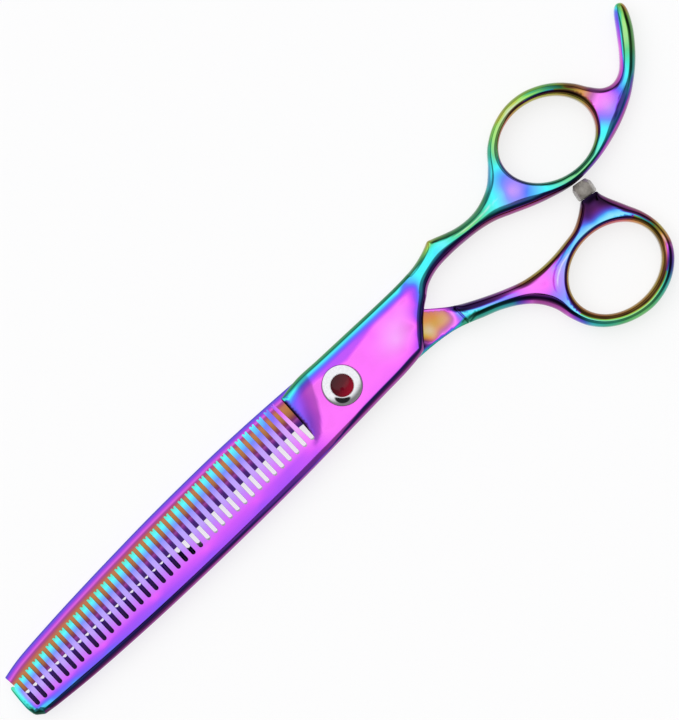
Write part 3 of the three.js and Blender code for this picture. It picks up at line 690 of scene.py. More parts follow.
# Shares of a tooth's length below its tip, with the phase there as a share of the tip's, and the painted
# shading, here a painted highlight.
TOOTH_FADE = [
    (0, 1.2, .1), (.08, 1.03, .05), (.16, .92, .05), (.26, .7, .1), (.38, .5, .25), (.5, .4, .35),
    (.65, .33, .35), (.8, .26, .2), (1, .18, .05), (1.25, .15, 0),
]
# The phase at the teeth's tips along the blade.
TOOTH_TIP_PHASE = [(-96, .34), (-70, .35), (-40, .34), (-26, .31), (-18, .27), (-15.5, .2), (-13.5, .06)]
# The walls of the gaps between the teeth: their film phase, and the painted shade that darkens them.
GAP_WALL_PHASE = 0.12
GAP_WALL_SHADE = -0.9
# Painted shade lines and painted highlight lines in the webs: the line's places, its half-width in mm and the
# painted shading in its middle (below 0 painted shade, above 0 painted highlight)
COMB_SHADE_AND_HIGHLIGHT_LINES = [
    ([(80.6, .4), (82, 1), (83.6, 2), (85.2, 3.1), (87, 3.7), (88.8, 4.4)], .32, -.6),
    ([(38.5, 6.45), (41, 5.9), (43.5, 5.6), (46, 5.5), (49, 5.6), (52, 5.6)], .25, .45),
]
THUMB_SHADE_AND_HIGHLIGHT_LINES = [
    ([(46.7, -18), (47, -16.6), (48, -15.2), (49.4, -14.1), (51.2, -13.3), (54, -12.7), (57, -12.35)],
     .32, -.45),
    ([(47.6, -17), (48.6, -15.8), (50, -14.8), (52, -13.9), (55, -13.3)], .28, .5),
]
# The body's flat: violet above a line, bands along the top edge, and a painted shade on the side beyond the
# grind
VIOLET_LINE = [(-12, 4.5), (-3, 4.5), (4.5, 3.1), (12, 4.3), (20, 5.3), (24, 5.9)]
VIOLET_PHASE = 0.085
GROUND_PHASE = 0.03
GROUND_SHADE = -0.3
# How far below the body's top edge the band along it has each phase.
BODY_TOP_BAND = [(0, .34), (.9, .33), (1.3, .28), (1.8, .19), (2.4, .1), (3, 0)]


def unwrapped(phase, reference):
    """The same point on the colour wheel, on the turn nearest to the reference."""
    return phase - np.round(phase - reference)


class FilmAndShading:
    """The film's phase, and its painted shading (painted shade and painted highlight), at a set of points."""

    def __init__(self, phase, tone):
        self.phase = phase
        self.tone = tone

    def towards(self, other, share):
        phase = mix(self.phase, unwrapped(other.phase, self.phase), share)
        return FilmAndShading(phase, mix(self.tone, other.tone, share))

    def at(self, index):
        return FilmAndShading(self.phase[index], self.tone[index])


def keyed(places, values, points, chunk=4000):
    """A smooth surface through values at a few places, read at the points."""

    def spread(spots):
        gap = spots[:, None, :] - places[None, :, :]
        return np.column_stack([np.sqrt((gap ** 2).sum(2) + KEY_SOFTNESS ** 2), np.ones(len(spots))])

    constant = np.append(np.ones(len(places)), 0)
    wanted = np.vstack([values, np.zeros(values.shape[1])])
    weights = np.linalg.solve(np.vstack([spread(places), constant]), wanted)
    return np.vstack([spread(points[i:i + chunk]) @ weights for i in range(0, len(points), chunk)])


def keyed_film_and_shading(keys, points):
    """The film's phase and painted shading between keys (x, y, phase, shading), with phases the short way
    round the wheel.
    """
    table = np.array([key if len(key) == 4 else (*key, 0) for key in keys], float)
    angle = table[:, 2] * 2 * math.pi
    found = keyed(table[:, :2], np.column_stack([np.cos(angle), np.sin(angle), table[:, 3]]), points)
    phase = np.arctan2(found[:, 1], found[:, 0]) / (2 * math.pi)
    return FilmAndShading(phase, np.clip(found[:, 2], -1, 1))


def along(table, at):
    """Columns 1 and on of a table, read at column 0."""
    columns = np.array(table, float).T
    return [np.interp(at, columns[0], column) for column in columns[1:]]


def layered_film_and_shading(points, loops, reach_keys, crest, shoulder_keys, rim_keys):
    """The film over a forging, with its painted shade and highlights: rim, shoulder and crest colours and
    shading by the share of the way in from the edge.
    """
    outline = np.vstack(loops)
    normals = np.vstack([inward(loop) for loop in loops])
    reach = np.array(reach_keys, float)
    reach = keyed(reach[:, :2], reach[:, 2:], outline)[:, 0]
    room = np.minimum(ball_radius(outline, normals, outline), reach)
    index, distance = nearest_on(points, outline)
    share = np.clip(distance / room[index], 0, 1)
    shoulder = keyed_film_and_shading(shoulder_keys, outline).at(index)
    rim = keyed_film_and_shading(rim_keys, outline).at(index)
    outer = rim.towards(shoulder, smoothstep(*RIM_TO_SHOULDER, share))
    return outer.towards(crest, smoothstep(*SHOULDER_TO_CREST, share))


def shade_line_creases(painted_lines):
    """Each painted line's middle and its two borders, for the faces to follow."""
    lines = []
    for places, half_width, _ in painted_lines:
        middle = spline(places)
        ahead = np.gradient(middle, axis=0)
        across = np.column_stack([-ahead[:, 1], ahead[:, 0]]) / np.linalg.norm(ahead, axis=1)[:, None]
        lines += [middle + across * side * half_width for side in (-1, 0, 1)]
    return lines


def with_shade_and_highlight_lines(film_and_shading, painted_lines, points):
    """The film with the painted shade lines and painted highlight lines added, which fade out towards each
    line's ends and borders.
    """
    tone = film_and_shading.tone
    for places, half_width, amount in painted_lines:
        middle = spline(places, 0.2)
        nearest, distance = nearest_on(points, middle)
        share = nearest / (len(middle) - 1)
        fading = smoothstep(0, 0.2, share) * (1 - smoothstep(0.8, 1, share))
        tone = tone + amount * fading * (1 - smoothstep(0, half_width, distance))
    return FilmAndShading(film_and_shading.phase, np.clip(tone, -1, 1))


def finished_plate(name, node, mesh, film_and_shading_of, material):
    """The plate's object, with its film and its painted shading in corner attributes, on its own body in
    place of the CAD node.
    """
    points = np.vstack(mesh.points)
    piece = new_mesh(name, points, mesh.faces, mesh.normals)
    film_and_shading = film_and_shading_of(points[:, :2], np.concatenate(mesh.edge_share) == 0)
    phases, painted_shadings = [], []
    for face in mesh.faces:
        ids = np.array(face)
        phases.append(unwrapped(film_and_shading.phase[ids], film_and_shading.phase[ids[0]]))
        painted_shadings.append(film_and_shading.tone[ids])
    for label, values in (("film", phases), ("tone", painted_shadings)):
        attribute = piece.data.attributes.new(label, "FLOAT", "CORNER")
        attribute.data.foreach_set("value", np.concatenate(values).astype(np.float32))
    keep(piece, node, node, material)


def keep(piece, body, node, material):
    piece.data.materials.append(material)
    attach(piece, body)
    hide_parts(node)


# ---- Toothed half ----

# Its outline's parts: 0 body, 1 ring and underside, 2 tip, 3 end, 4 teeth, 5 the body's end above the gap
PART_TEETH = 4
PART_BODY_END = 5
TIP_SPLINE = spline(TOOTH_TIPS, 0.2)
BODY_TOP_SPLINE = spline(BODY_TOP_EDGE)


def toothed_height(xy):
    """Level of the outer face: flat body, ground blade, and dished webs beside the finger ring."""
    x, y = xy[:, 0], xy[:, 1]
    beyond = signed_side(xy, GRIND_LINE)
    soft = GRIND_SOFTNESS
    run = np.where(beyond > soft, beyond - soft / 2, np.clip(beyond, 0, soft) ** 2 / (2 * soft))
    grind = run * mix(GRIND_SLOPE, FACET_SLOPE, smoothstep(BODY_END_X - 1, BODY_END_X, x))
    taper = COMB_TAPER * np.clip(BODY_END_X - x, 0, None)
    start_x, start_y = TIP_FACET["start"]
    past_tip = np.clip(start_y - y - TIP_FACET["lean"] * (x - start_x), 0, TIP_FACET["reach"])
    tip_facet = TIP_FACET["slope"] * past_tip * (x < TIP_FACET["end_x"])
    on_body = (x > BODY_END_X) * (1 - smoothstep(*TOP_ROLL["fade_x"], x))
    roll = TOP_ROLL["curve"] * np.clip(y - TOP_ROLL["start_y"], 0, TOP_ROLL["reach"]) ** 2 * on_body
    handle = COMB_HANDLE_DROP["depth"] * smoothstep(*COMB_HANDLE_DROP["x"], x)
    return BODY_TOP_Z - grind - taper - tip_facet - roll - handle - dished(xy, COMB_DISHES)


def toothed_floor(xy):
    return COMB_RIDE_Z * (1 - smoothstep(*COMB_STEP_X, xy[:, 0]))


def tooth_tip_y(x):
    return float(np.interp(x, TIP_SPLINE[:, 0], TIP_SPLINE[:, 1]))


def tooth_end(left, right):
    """The end of one tooth, with its small notch."""
    middle = (left + right) / 2
    tip = tooth_tip_y(middle)
    half = NOTCH_WIDTH / 2
    return [(left, tip - TOOTH_EASE), (left + TOOTH_EASE, tip), (middle - half, tip),
            (middle, tip - NOTCH_DEPTH), (middle + half, tip), (right - TOOTH_EASE, tip),
            (right, tip - TOOTH_EASE)]


def slot_walls(centre, left_top, right_top):
    """Down the left wall of a gap, round its root and up the right wall, on the outer and the inner face."""
    half = SLOT_WIDTH / 2
    root = SLOT_ROOT_Y + half
    run = np.interp(centre, SLOT_ROOT_BACK["x"], SLOT_ROOT_BACK["y"]) - SLOT_ROOT_Y
    outer, inner = [], []
    for side, top in ((-1, left_top), (1, right_top)):
        wall = np.linspace(top, root, max(4, math.ceil((top - root) / TOOTH_STEP)))[1:]
        flare = np.array([mouth_flare(centre, side, y) for y in wall])
        x = centre + side * half + flare
        share = (top - wall) / (top - root)
        outer.append(np.column_stack([x, wall]))
        inner.append(np.column_stack([x, wall + run * share]))
    angle = np.linspace(math.pi, 2 * math.pi, 11)[1:-1]
    arc = np.column_stack([centre + half * np.cos(angle), root + half * np.sin(angle)])
    return [np.vstack([outer[0], arc, outer[1][::-1]]), np.vstack([inner[0], arc + [0, run], inner[1][::-1]])]


def mouth_flare(centre, side, y):
    """The first gap opens out towards its mouth, from 1 mm above its root."""
    if centre != FIRST_SLOT_X:
        return 0.0
    return side * FIRST_GAP_FLARE[side] * max(0.0, y - SLOT_ROOT_Y - 1)


def tooth_row():
    """The toothed edge from the tip to the body, as matching paths on the outer and the inner face."""
    outer, inner = [], []
    left = COMB_TIP_HIGH[0]
    for i in reversed(range(TOOTH_COUNT)):
        centre = FIRST_SLOT_X - i * TOOTH_PITCH
        right = centre - SLOT_WIDTH / 2
        right_top = right + mouth_flare(centre, -1, tooth_tip_y(right))
        end = eased(tooth_end(left, right_top), 0.1, 2)
        if i == TOOTH_COUNT - 1:
            end = end[end[:, 0] > left + 0.3]
        outer.append(end)
        inner.append(end)
        next_left = centre + SLOT_WIDTH / 2
        right_wall_top = tooth_tip_y(next_left) - TOOTH_EASE if i else BODY_CORNER[1] - 0.4
        walls = slot_walls(centre, end[-1][1], right_wall_top)
        outer.append(walls[0])
        inner.append(walls[1])
        left = next_left
    return np.vstack(outer), np.vstack(inner)


def toothed_outline():
    """The outline on both faces and the part that each point belongs to."""
    teeth_outer, teeth_inner = tooth_row()
    stretches = [
        spline([teeth_outer[-1] + [0.1, 0.35], *BODY_TOP_EDGE[1:]]),
        spline(FINGER_RING_AND_TANG),
        evenly(np.array([COMB_TIP_LOW, COMB_TIP_MID]), OUTLINE_STEP),
        spline([*COMB_END, tuple(teeth_outer[0])]),
    ]
    smooth = open_joined(stretches, [0.35, 0.3, 0.5])
    parts = np.concatenate([np.full(len(piece), i) for i, piece in enumerate(smooth)])
    smooth = np.vstack(smooth)
    outer = np.vstack([smooth, teeth_outer[1:]])
    inner = np.vstack([smooth, teeth_inner[1:]])
    parts = np.concatenate([parts, np.full(len(teeth_outer) - 1, PART_TEETH)])
    above_root = outer[:, 1] > SLOT_ROOT_Y + SLOT_WIDTH / 2
    parts[(parts == PART_TEETH) & (outer[:, 0] > FIRST_SLOT_X) & above_root] = PART_BODY_END
    return outer[::-1].copy(), inner[::-1].copy(), parts[::-1].copy()


def open_joined(stretches, cuts, arc_points=5):
    """Stretches that meet at corners, with each corner eased; the corner goes with the stretch before it."""
    pieces = []
    for i, stretch in enumerate(stretches):
        start_cut = cuts[i - 1] if i else 0
        end_cut = cuts[i] if i < len(cuts) else 0
        body = trimmed(stretch, start_cut, end_cut) if start_cut or end_cut else stretch
        if i < len(cuts):
            following = trimmed(stretches[i + 1], cuts[i], 0)
            t = (np.arange(1, arc_points) / arc_points)[:, None]
            arc = (1 - t) ** 2 * body[-1] + 2 * t * (1 - t) * stretch[-1] + t ** 2 * following[0]
            body = np.vstack([body, arc])
        pieces.append(body)
    return pieces


def make_toothed_half(steel):
    outer, inner, parts = toothed_outline()
    handle = smoothstep(*COMB_HANDLE_X, outer[:, 0])
    back = along_handle(COMB_BACK_EDGE, smoothstep(*COMB_BACK_HANDLE_X, outer[:, 0]))
    upper = by_part(parts, [along_handle(COMB_BODY_EDGE, handle), along_handle(COMB_RING_EDGE, handle),
                            COMB_TIP_EDGE, COMB_END_EDGE, SHARP, BODY_END_EDGE])
    lower = by_part(parts, [back, back, SHARP, SHARP, SHARP, SHARP])
    thickness = toothed_height(outer) - toothed_floor(outer)
    room = ball_radius(outer, inward(outer), np.vstack([outer, ellipse(FINGER_HOLE)]))
    pivot_hole = as_hole(circle(COMB_HOLE_R))
    rims = [
        Rim(outer, inner, ease(upper, room, thickness, COMB_TOP_SHARE),
            ease(lower, room, thickness, COMB_BACK_SHARE)),
        ring_hole(FINGER_HOLE, outer, FINGER_RING_THICKNESS),
        Rim(pivot_hole, pivot_hole, SHARP, SHARP),
    ]
    floor_step = [[(edge_x, -12), (edge_x, 12)] for edge_x in COMB_STEP_X]
    creases = {1: shade_line_creases(COMB_SHADE_AND_HIGHLIGHT_LINES), -1: floor_step}
    mesh = build_plate(rims, {1: toothed_height, -1: toothed_floor}, creases)
    outlines = [outer[parts != PART_TEETH], rims[1].loops[1]]
    finished_plate("toothed_half", "comb_half", mesh, lambda *at: toothed_film_and_shading(outlines, *at), steel)


def body_tint_and_shade(points):
    """Phase that the body's flat has beyond its pink, and the painted shade over its side beyond the grind.
    """
    x, y = points[:, 0], points[:, 1]
    above = y - along(VIOLET_LINE, x)[0]
    ground = signed_side(points, GRIND_LINE)
    on_body = smoothstep(BODY_END_X - 2, BODY_END_X, x) * (1 - smoothstep(22, 25, x))
    violet = VIOLET_PHASE * smoothstep(-0.4, 0.5, above)
    band = along(BODY_TOP_BAND, np.interp(x, BODY_TOP_SPLINE[:, 0], BODY_TOP_SPLINE[:, 1]) - y)[0]
    side = GROUND_PHASE * smoothstep(-0.3, 0.4, ground)
    # Painted shade over the ground facet beyond the grind line.
    tone = GROUND_SHADE * smoothstep(-0.3, 0.4, ground) * (1 - smoothstep(2, 4.5, ground))
    return on_body * np.maximum(np.maximum(violet, band), side), on_body * tone


def toothed_film_and_shading(outlines, points, walls):
    crest = keyed_film_and_shading(COMB_CREST, points)
    phase, tone = body_tint_and_shade(points)
    crest = FilmAndShading(crest.phase + phase, crest.tone + tone)
    film_and_shading = layered_film_and_shading(points, outlines, COMB_REACH, crest, COMB_SHOULDER, COMB_RIM)
    film_and_shading = with_shade_and_highlight_lines(film_and_shading, COMB_SHADE_AND_HIGHLIGHT_LINES, points)
    x, y = points[:, 0], points[:, 1]
    tip = np.interp(x, TIP_SPLINE[:, 0], TIP_SPLINE[:, 1])
    fade, tone = along(TOOTH_FADE, (tip - y) / (tip - SLOT_ROOT_Y))
    tooth = FilmAndShading(along(TOOTH_TIP_PHASE, x)[0] * fade, tone)
    on_teeth = smoothstep(SLOT_ROOT_Y - 1, SLOT_ROOT_Y + 0.4, y) * smoothstep(-95.4, -94.4, x) * (x < -12.2)
    film_and_shading = film_and_shading.towards(tooth, on_teeth)
    among_teeth = (y > SLOT_ROOT_Y - 0.1) * (x < FIRST_SLOT_X + 0.3) * (x > -95)
    # Painted shade on the walls of the gaps between the teeth.
    gap_wall_shade = walls * smoothstep(-0.2, -0.9, y) * among_teeth
    return film_and_shading.towards(FilmAndShading(GAP_WALL_PHASE, GAP_WALL_SHADE), gap_wall_shade)


# ---- Straight half ----

def straight_height(xy):
    x = xy[:, 0]
    dishes = dished(xy, THUMB_DISHES) * smoothstep(*THUMB_DISHES_X, x)
    return mix(THUMB_RIDE_Z, THUMB_TOP_Z, smoothstep(*THUMB_STEP_X, x)) - dishes


def straight_floor(xy):
    x, y = xy[:, 0], xy[:, 1]
    bevel = CUTTING_BEVEL["edge_z"] - CUTTING_BEVEL["slope"] * (y - CUTTING_BEVEL["edge_y"])
    blade = np.where(x < CUTTING_BEVEL["end_x"], np.maximum(BLADE_BACK_Z, bevel), BLADE_BACK_Z)
    taper = BACK_TAPER["slope"] * np.clip(BACK_TAPER["start_x"] - x, 0, None)
    return np.maximum(blade, BLADE_BACK_Z + taper) * (1 - smoothstep(*THUMB_FLOOR_STEP_X, x))


def straight_outline():
    """The outline and its parts: 0 the blade's end, 1 the spine, 2 the stub's end, 3 the rest."""
    tip = evenly(np.array([THUMB_TIP_LOW, THUMB_TIP_HIGH]), OUTLINE_STEP)
    stub = evenly(np.array([STUB_LEFT, STUB_RIGHT]), OUTLINE_STEP)
    closed = [tip, spline(THUMB_SPINE), stub, spline(THUMB_RING), tip]
    stretches = open_joined(closed, [0.25, 0.4, 0.4, 0.05])[:4]
    parts = np.concatenate([np.full(len(stretch), i) for i, stretch in enumerate(stretches)])
    return np.vstack(stretches)[::-1].copy(), parts[::-1].copy()


def straight_rim(outline, parts):
    handle = smoothstep(*THUMB_HANDLE_X, outline[:, 0])
    edges = []
    for rest, spine in ((THUMB_EDGE, SPINE_EDGE), (THUMB_BACK_EDGE, SPINE_BACK_EDGE)):
        rest, spine = along_handle(rest, handle), along_handle(spine, handle)
        edges.append(by_part(parts, [rest, spine, STUB_EDGE, rest]))
    thickness = straight_height(outline) - straight_floor(outline)
    room = ball_radius(outline, inward(outline), np.vstack([outline, ellipse(THUMB_HOLE)]))
    return Rim(outline, outline, *[ease(edge, room, thickness, THUMB_SHARE) for edge in edges])


def make_straight_half(steel):
    outline, parts = straight_outline()
    bore = as_hole(circle(BUSHING_HOLE_R))
    counterbore = as_hole(circle(COUNTERBORE_R))
    rims = [
        straight_rim(outline, parts),
        ring_hole(THUMB_HOLE, outline, THUMB_RING_THICKNESS),
        Rim(bore, counterbore, SHARP, SHARP, [(counterbore, COUNTERBORE_TOP_Z), (bore, COUNTERBORE_TOP_Z)]),
    ]
    steps = [[(x, -12), (x, 2)] for x in np.linspace(*THUMB_STEP_X, 5)]
    floor_steps = [[(x, -12), (x, 2)] for x in THUMB_FLOOR_STEP_X]
    mesh = build_plate(rims, {1: straight_height, -1: straight_floor},
                       {1: [*steps, *shade_line_creases(THUMB_SHADE_AND_HIGHLIGHT_LINES)], -1: floor_steps})
    outlines = [outline, rims[1].loops[1]]
    finished_plate("straight_half", "thumb_half", mesh, lambda at, _walls: straight_film_and_shading(outlines, at), steel)


def straight_film_and_shading(outlines, points):
    crest = keyed_film_and_shading(THUMB_CREST, points)
    film_and_shading = layered_film_and_shading(points, outlines, THUMB_REACH, crest, THUMB_SHOULDER, THUMB_RIM)
    film_and_shading = with_shade_and_highlight_lines(film_and_shading, THUMB_SHADE_AND_HIGHLIGHT_LINES, points)
    spine = spline([place for place in THUMB_SPINE if place[0] <= 16], 0.5)
    down = np.interp(points[:, 0], spine[:, 0], spine[:, 1]) - points[:, 1]
    # The rear blade's film and its painted shade, by the distance below the spine.
    return film_and_shading.towards(FilmAndShading(*along(REAR_BLADE, down)), 1 - smoothstep(12, 17, points[:, 0]))


# ---- Materials ----

# Painted highlight colour, and how painted shade dulls and darkens the film:
PAINTED_HIGHLIGHT_COLOUR = (0.86, 0.86, 1.0, 1.0)
PAINTED_SHADE_SATURATION = 0.75
PAINTED_SHADE_VALUE = 0.02
PAINTED_SHADE_POWER = 1.7
TURNING_MARK_SCALE = 1800.0
TURNING_MARK_HEIGHT = 0.000004
PLASTIC_GRAIN_HEIGHT = 0.00001
SCREW_STEEL = (244, 246, 250)
SPRING_STEEL = (186, 190, 197)
NUT_STEEL = (202, 205, 211)
DARK_NYLON = (34, 36, 46)
WHITE_NYLON = (233, 230, 218)
JEWEL_REDS = [(58, 12, 20), (92, 12, 28), (165, 12, 45)]
RUBBER_GREYS = [(122, 117, 111), (166, 160, 152)]


def linear(rgb):
    """An sRGB colour in 0..255 as a linear one with alpha."""
    part = [c / 255 for c in rgb]
    return (*[c / 12.92 if c <= 0.04045 else ((c + 0.055) / 1.055) ** 2.4 for c in part], 1)


class Nodes:
    """Short ways to add and join a material's nodes."""

    def __init__(self, name):
        self.material = bpy.data.materials.new(name)
        self.material.use_nodes = True
        self.tree = self.material.node_tree
        self.shader = self.tree.nodes["Principled BSDF"]

    def node(self, kind, **settings):
        made = self.tree.nodes.new("ShaderNode" + kind)
        for key, value in settings.items():
            setattr(made, key, value)
        return made

    def join(self, value, target):
        """Feeds a socket from another node's output, or sets it to a plain value."""
        if isinstance(value, bpy.types.NodeSocket):
            self.tree.links.new(value, target)
        else:
            target.default_value = value

    def set(self, **values):
        for key, value in values.items():
            self.join(value, self.shader.inputs[key.replace("_", " ")])

    def math(self, operation, a, b=0.0):
        made = self.node("Math", operation=operation)
        for socket, value in zip(made.inputs, (a, b)):
            self.join(value, socket)
        return made.outputs[0]

    def place(self):
        return self.node("TexCoord").outputs["Object"]

    def noise(self, scale, detail=3.0, stretch=(1, 1, 1)):
        mapping = self.node("Mapping")
        mapping.inputs["Scale"].default_value = [scale * s for s in stretch]
        self.join(self.place(), mapping.inputs["Vector"])
        made = self.node("TexNoise")
        made.inputs["Scale"].default_value = 1.0
        made.inputs["Detail"].default_value = detail
        self.join(mapping.outputs[0], made.inputs["Vector"])
        return made.outputs["Fac"]

    def ramp(self, value, stops):
        """A colour for each 0..1 value, from (position, sRGB colour) stops."""
        made = self.node("ValToRGB")
        elements = made.color_ramp.elements
        elements.remove(elements[1])
        elements[0].position = stops[0][0]
        elements[0].color = linear(stops[0][1])
        for position, colour in stops[1:]:
            elements.new(position).color = linear(colour)
        self.join(value, made.inputs["Fac"])
        return made.outputs["Color"]

    def blend(self, share, a, b):
        made = self.node("Mix", data_type="RGBA")
        self.join(share, made.inputs["Factor"])
        sockets = [s for s in made.inputs if s.type == "RGBA"]
        for socket, value in zip(sockets, (a, b)):
            self.join(value, socket)
        return next(s for s in made.outputs if s.type == "RGBA")

    def painted_shade_colour(self, colour):
        # The film's colour in painted shade: less saturated and nearly black.
        made = self.node("HueSaturation")
        made.inputs["Saturation"].default_value = PAINTED_SHADE_SATURATION
        made.inputs["Value"].default_value = PAINTED_SHADE_VALUE
        self.join(colour, made.inputs["Color"])
        return made.outputs["Color"]

    def spread(self, value, low, high):
        """A 0..1 value mapped to low..high."""
        return self.math("ADD", self.math("MULTIPLY", value, high - low), low)

    def bump(self, height, distance, strength=1.0):
        made = self.node("Bump")
        made.inputs["Distance"].default_value = distance
        made.inputs["Strength"].default_value = strength
        self.join(height, made.inputs["Height"])
        self.join(made.outputs["Normal"], self.shader.inputs["Normal"])


def film_steel_with_painted_shading():
    """Polished steel under a coloured oxide film, with faint cloudiness and hairline scratches; the shading
    attribute paints shade and highlights over it.
    """
    n = Nodes("oxide_film_steel_painted_shading")
    film = n.node("Attribute", attribute_name="film").outputs["Fac"]
    tone = n.node("Attribute", attribute_name="tone").outputs["Fac"]
    cloud = n.spread(n.noise(180, 2), -0.012, 0.012)
    phase = n.math("FRACT", n.math("ADD", n.math("ADD", film, cloud), 4.0))
    colour = n.ramp(phase, FILM_COLOURS)
    # Painted highlight: paler where the shading is above 0. Painted shade: dulled and darker where it is
    # below 0.
    with_painted_highlight = n.blend(n.math("MAXIMUM", tone, 0.0), colour, PAINTED_HIGHLIGHT_COLOUR)
    kept = n.math("POWER", n.math("ADD", n.math("MINIMUM", tone, 0.0), 1.0), PAINTED_SHADE_POWER)
    with_painted_shade = n.blend(n.math("SUBTRACT", 1.0, kept), with_painted_highlight, n.painted_shade_colour(colour))
    scratches = n.noise(900, 2, (0.25, 6, 1))
    n.set(Base_Color=with_painted_shade, Roughness=n.spread(scratches, 0.05, 0.11), Metallic=1.0)
    return n.material


def bare_metal(name, rgb, roughness, turned=False):
    """Bare metal with fine grain and, on a turned face, the rings that the tool left about Z."""
    n = Nodes(name)
    grain = n.noise(2500, 3)
    n.set(Base_Color=n.ramp(grain, [(0.3, [c * 0.94 for c in rgb]), (0.7, rgb)]),
          Roughness=n.spread(grain, roughness * 0.7, roughness * 1.3), Metallic=1.0)
    if turned:
        rings = n.node("TexWave", wave_type="RINGS", rings_direction="Z")
        n.join(TURNING_MARK_SCALE, rings.inputs["Scale"])
        n.join(n.place(), rings.inputs["Vector"])
        n.bump(rings.outputs["Fac"], TURNING_MARK_HEIGHT)
    return n.material


def nylon(name, rgb, roughness):
    n = Nodes(name)
    grain = n.noise(3000, 4)
    n.set(Base_Color=n.ramp(grain, [(0.3, [c * 0.9 for c in rgb]), (0.7, rgb)]),
          Roughness=n.spread(grain, roughness * 0.8, roughness * 1.2))
    n.bump(grain, PLASTIC_GRAIN_HEIGHT)
    return n.material


def red_jewel():
    """Dark red glass, brighter towards one side as light gathers in it."""
    n = Nodes("red_jewel")
    axes = n.node("SeparateXYZ")
    n.join(n.place(), axes.inputs[0])
    across = n.math("SUBTRACT", n.math("MULTIPLY", axes.outputs[0], 0.3), axes.outputs[1])
    share = n.math("ADD", n.math("MULTIPLY", across, 220.0), 0.5)
    n.set(Base_Color=n.ramp(share, list(zip((0, 0.5, 1), JEWEL_REDS))), Roughness=0.06, IOR=1.5,
          Specular_IOR_Level=0.25)
    return n.material


def smoky_rubber():
    n = Nodes("bumper_rubber")
    cloud = n.noise(900, 3)
    n.set(Base_Color=n.ramp(cloud, list(zip((0.3, 0.7), RUBBER_GREYS))), Roughness=n.spread(cloud, 0.18, 0.3),
          IOR=1.45, Transmission_Weight=0.15, Coat_Weight=0.3)
    return n.material


# ---- Turned pieces ----

def lathe(name, profile, steps=96, wobble=None):
    """A closed piece turned about +Z from (radius, z) points in mm."""
    points, rows = [], []
    angle = np.arange(steps) / steps * 2 * math.pi
    lift = wobble(angle) if wobble else np.zeros(steps)
    for radius, z in profile:
        if radius == 0:
            rows.append([len(points)] * steps)
            points.append((0, 0, z))
        else:
            rows.append(list(range(len(points), len(points) + steps)))
            points += list(zip(radius * np.cos(angle), radius * np.sin(angle), z + lift))
    faces = []
    for low, high in zip(rows, rows[1:] + ([rows[0]] if profile[0][0] else [])):
        for i in range(steps):
            j = (i + 1) % steps
            face = list(dict.fromkeys([low[i], low[j], high[j], high[i]]))
            if len(face) > 2:
                faces.append(face)
    piece = new_mesh(name, points, faces)
    sharpen(piece)
    return piece


def sharpen(piece):
    piece.data.set_sharp_from_angle(angle=SHARP_ANGLE)


def ring_profile(inner, outer, low, high, ease=0.05):
    return [
        (inner + ease, low), (outer - ease, low), (outer, low + ease), (outer, high - ease),
        (outer - ease, high), (inner + ease, high), (inner, high - ease), (inner, low + ease),
    ]


def make_screw():
    """The pivot screw, its jewel, and the washer under its head."""
    shaft = [(0, 0), (1.35, 0), (1.5, .15), (1.5, 1.3), (1.95, 1.3), (1.95, 6.07), (4.2, 6.07)]
    head = [(4.35, 6.22), (4.35, 6.8), (4.31, 6.95), (4.2, 7.03), (4.05, 7.07), (2.7, 7.215)]
    cup = [(2.6, 7.215), (2.56, 7.17), (2.55, 6.9), (2.55, 6.6), (0, 6.6)]
    post = lathe("screw_post", [*shaft, *head, *cup], 128)
    keep(post, "comb_half", "pivot_post", bare_metal("polished_screw", SCREW_STEEL, 0.04))
    dome = [(2.5, 7.16), (2.4, 7.26), (2.1, 7.42), (1.7, 7.55), (1.2, 7.66), (.6, 7.73), (0, 7.75)]
    gem = lathe("screw_gem", [(0, 6.65), (2.5, 6.65), *dome], 64)
    keep(gem, "comb_half", "pivot_gem", red_jewel())
    washer = lathe("screw_washer", ring_profile(2.1, 4.45, 5.82, 6.05))
    keep(washer, "comb_half", "head_washer", nylon("dark_nylon", DARK_NYLON, 0.45))


def make_bearing():
    """What the thumb half turns on: a bushing, a thrust ring and a spring with three waves."""
    white = nylon("white_nylon", WHITE_NYLON, 0.4)
    bushing = lathe("bushing", ring_profile(2.05, 2.8, 1.65, 3.1))
    keep(bushing, "thumb_half", "pivot_bushing", white)
    thrust_ring = lathe("thrust_ring", ring_profile(2.1, 3.9, 1.35, 1.6))
    keep(thrust_ring, "thumb_half", "thrust_washer", white)
    spring = lathe("spring_washer", ring_profile(1.75, 3.4, 1.06, 1.24, 0.03), 96,
                   lambda angle: 0.07 * np.cos(3 * angle))
    keep(spring, "comb_half", "wave_spring", bare_metal("spring_steel", SPRING_STEEL, 0.28))


def block(name, low, high):
    """A box between two corners in mm, to cut with."""
    xs, ys, zs = zip(low, high)
    points = [(x, y, z) for x in xs for y in ys for z in zs]
    faces = [(0, 1, 3, 2), (4, 6, 7, 5), (0, 4, 5, 1), (2, 3, 7, 6), (0, 2, 6, 4), (1, 5, 7, 3)]
    return new_mesh(name, points, faces)


def cut_away(piece, cutters):
    """Takes the cutters' volumes out of a piece and removes the cutters."""
    for cutter in cutters:
        cut = piece.modifiers.new(cutter.name, "BOOLEAN")
        cut.operation = "DIFFERENCE"
        cut.solver = "EXACT"
        cut.object = cutter
    whole = piece.data
    piece.data = bpy.data.meshes.new_from_object(piece.evaluated_get(bpy.context.evaluated_depsgraph_get()))
    piece.modifiers.clear()
    bpy.data.meshes.remove(whole)
    for cutter in cutters:
        bpy.data.objects.remove(cutter)
    sharpen(piece)


